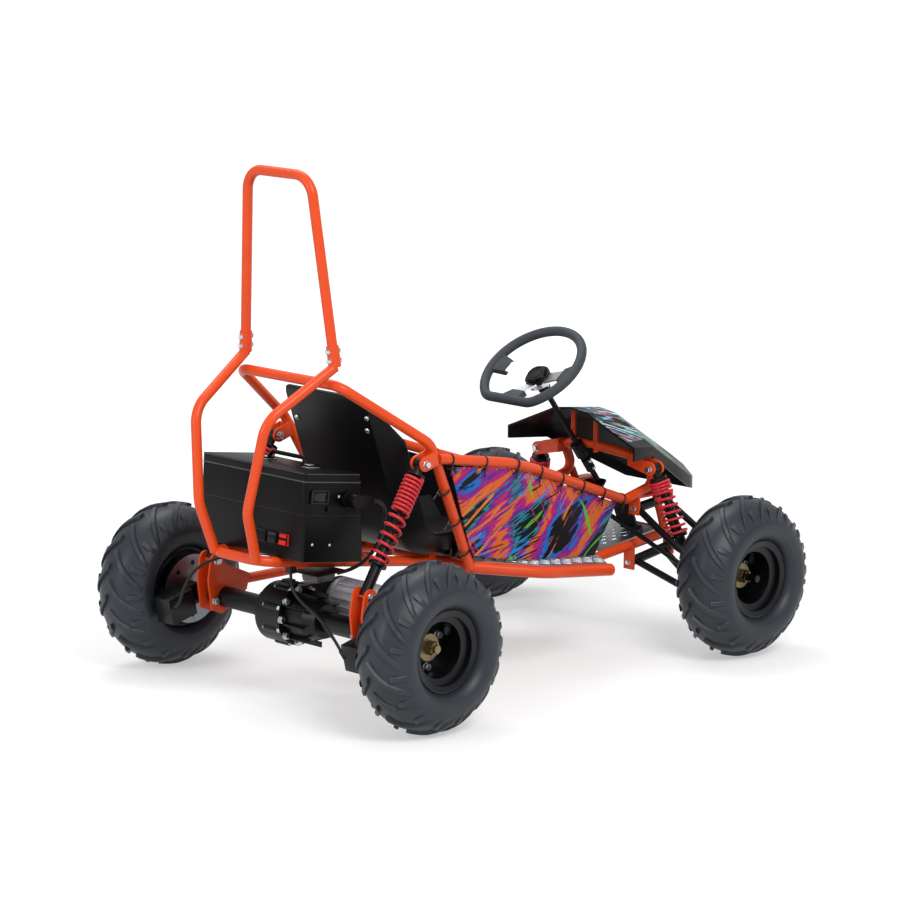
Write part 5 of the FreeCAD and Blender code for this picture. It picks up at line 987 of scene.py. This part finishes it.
# %% Display, switches and handle plates
DISPLAY_Y, SWITCH_Z = -BOX_W / 2 - 4.0, 39.0
frames = bmesh.new()
for x0, z0, x1, z1 in ((3, 148.2, 51, 151), (3, 122, 51, 124.8), (3, 122, 6.4, 151), (47.6, 122, 51, 151)):
    block(frames, (x0, DISPLAY_Y - 1.6, z0), (x1, DISPLAY_Y + 2.0, z1), 0.6, BOX_PLACE)
socket_x = box_end(SWITCH_Z, False) - 3.0
for low in (26.5, 48.9):
    block(frames, (socket_x - 1.2, -48.5, low), (socket_x + 3, -17.5, low + 2.6), 0.5, BOX_PLACE)
keep_piece("display_frame", close_mesh(frames), switch_black, "root")
screen = block(bmesh.new(), (10, DISPLAY_Y - 0.5, 128), (44, DISPLAY_Y + 1, 145), 0.2, BOX_PLACE)
keep_piece("display_screen", close_mesh(screen), lens_plastic, "root")


def rocker(y, wide, out):
    """A rocker switch: two faces that meet in a shallow valley, in a frame."""
    face, low, high = box_end(SWITCH_Z, False), SWITCH_Z - 11.4, SWITCH_Z + 11.4
    work = block(bmesh.new(), (face - out * 0.55, y - wide / 2 - 0.6, low - 0.6),
                 (face + 3, y + wide / 2 + 0.6, high + 0.6), 0.7, BOX_PLACE)
    outline = ((face - out - 1.6, low + 1), (face - out + 0.6, SWITCH_Z), (face - out - 0.4, high - 1),
               (face + 2, high - 1), (face + 2, low + 1))
    ends = (y - wide / 2 + 1.6, y + wide / 2 - 1.6)
    return close_mesh(skin(work, [[BOX_PLACE @ at(x, end, z) for x, z in outline] for end in ends]))


keep_piece("rocker_red", rocker(-105.0, 24.4, 6.2), switch_red, "root")
keep_piece("rocker_black", rocker(-70.0, 25.4, 5.2), switch_black, "root")
dome = close_mesh(lathe(((0, 0), (3.6, 0), (3.5, 0.8), (2.6, 1.9), (1.3, 2.5), (0, 2.7)), 16))
rows = [(BOX_PLACE @ at(x, -BOX_W / 2, z) * 1000, (0, -1, 0)) for x, z in ((22, 37), (71, 36), (84, 137))]
fasten("box_screws", rows, dome)
plates = bmesh.new()
for side in (1, -1):
    block(plates, (64, side * 66 - 16, 185), (96, side * 66 + 10 + 6 * side, 186.6), 0.5, BOX_PLACE)
    block(plates, (73, side * 66 - 8, 186), (87, side * 66 + 6, 191.5), 1.2, BOX_PLACE)
keep_piece("handle_plates", close_mesh(plates), brushed_aluminium, "root")

# %% [markdown]
# The floor is a pale sweep. It shows nearly white but still takes the soft shadow: half its
# brightness is a glow that only the camera and glossy rays see. The lamps are three soft boxes.

# %% Floor and light
floor_paint = bpy.data.materials.new("studio_sweep")
tree = empty_tree(floor_paint)
path = add(tree, "ShaderNodeLightPath").outputs
seen = add(tree, "ShaderNodeMath", {0: path["Is Camera Ray"], 1: path["Is Glossy Ray"]}, operation="MAXIMUM")
place = add(tree, "ShaderNodeTexCoord").outputs["Object"]
away = add(tree, "ShaderNodeVectorMath", {0: place}, operation="LENGTH").outputs["Value"]
white = add(tree, "ShaderNodeMapRange", {"Value": away, "From Min": 1.2, "From Max": 5.0, "To Min": 0.44,
                                         "To Max": 0.80}).outputs[0]
level = add(tree, "ShaderNodeMath", {0: seen.outputs[0], 1: white}, operation="MULTIPLY")
matt = add(tree, "ShaderNodeBsdfDiffuse", {"Color": "#C8C8C8"})
glow = add(tree, "ShaderNodeEmission", {"Strength": level.outputs[0]})
both = add(tree, "ShaderNodeAddShader", {0: matt.outputs[0], 1: glow.outputs[0]})
add(tree, "ShaderNodeOutputMaterial", {"Surface": both.outputs[0]})

REACH = 26.0
floor_mesh = bpy.data.meshes.new("floor")
corners = [(x * REACH, y * REACH, 0) for x, y in ((-1, -1), (1, -1), (1, 1), (-1, 1))]
floor_mesh.from_pydata(corners, [], [(0, 1, 2, 3)])
floor_mesh.materials.append(floor_paint)
floor = in_scene("floor", floor_mesh)

bpy.context.scene.world = bpy.data.worlds.new("studio")
tree = empty_tree(bpy.context.scene.world)
path = add(tree, "ShaderNodeLightPath").outputs
room = add(tree, "ShaderNodeBackground", {"Color": "#FFFFFF", "Strength": 0.62})
shown = add(tree, "ShaderNodeBackground", {"Color": "#FFFFFF", "Strength": 1.0})
either = add(tree, "ShaderNodeMath", {0: path["Is Camera Ray"], 1: path["Is Transmission Ray"]},
             operation="MAXIMUM")
both = add(tree, "ShaderNodeMixShader", {0: either.outputs[0], 1: room.outputs[0], 2: shown.outputs[0]})
add(tree, "ShaderNodeOutputWorld", {"Surface": both.outputs[0]})


def softbox(name, place, target, size, power):
    """A square area light aimed at a point."""
    lamp = bpy.data.lights.new(name, "AREA")
    lamp.size = size
    lamp.energy = power
    lamp_object = in_scene(name, lamp)
    lamp_object.location = place
    lamp_object.rotation_euler = (Vector(target) - Vector(place)).to_track_quat("-Z", "Y").to_euler()


softbox("key_light", (-1.4, -3.6, 3.8), (0, 0, 0.4), 1.8, 130)
softbox("top_light", (0.6, 1.6, 4.2), (0, 0, 0.4), 2.4, 70)
softbox("rear_fill", (-4.4, 0.6, 2.0), (0, 0, 0.4), 1.8, 45)
bpy.context.scene.view_settings.view_transform = "Standard"
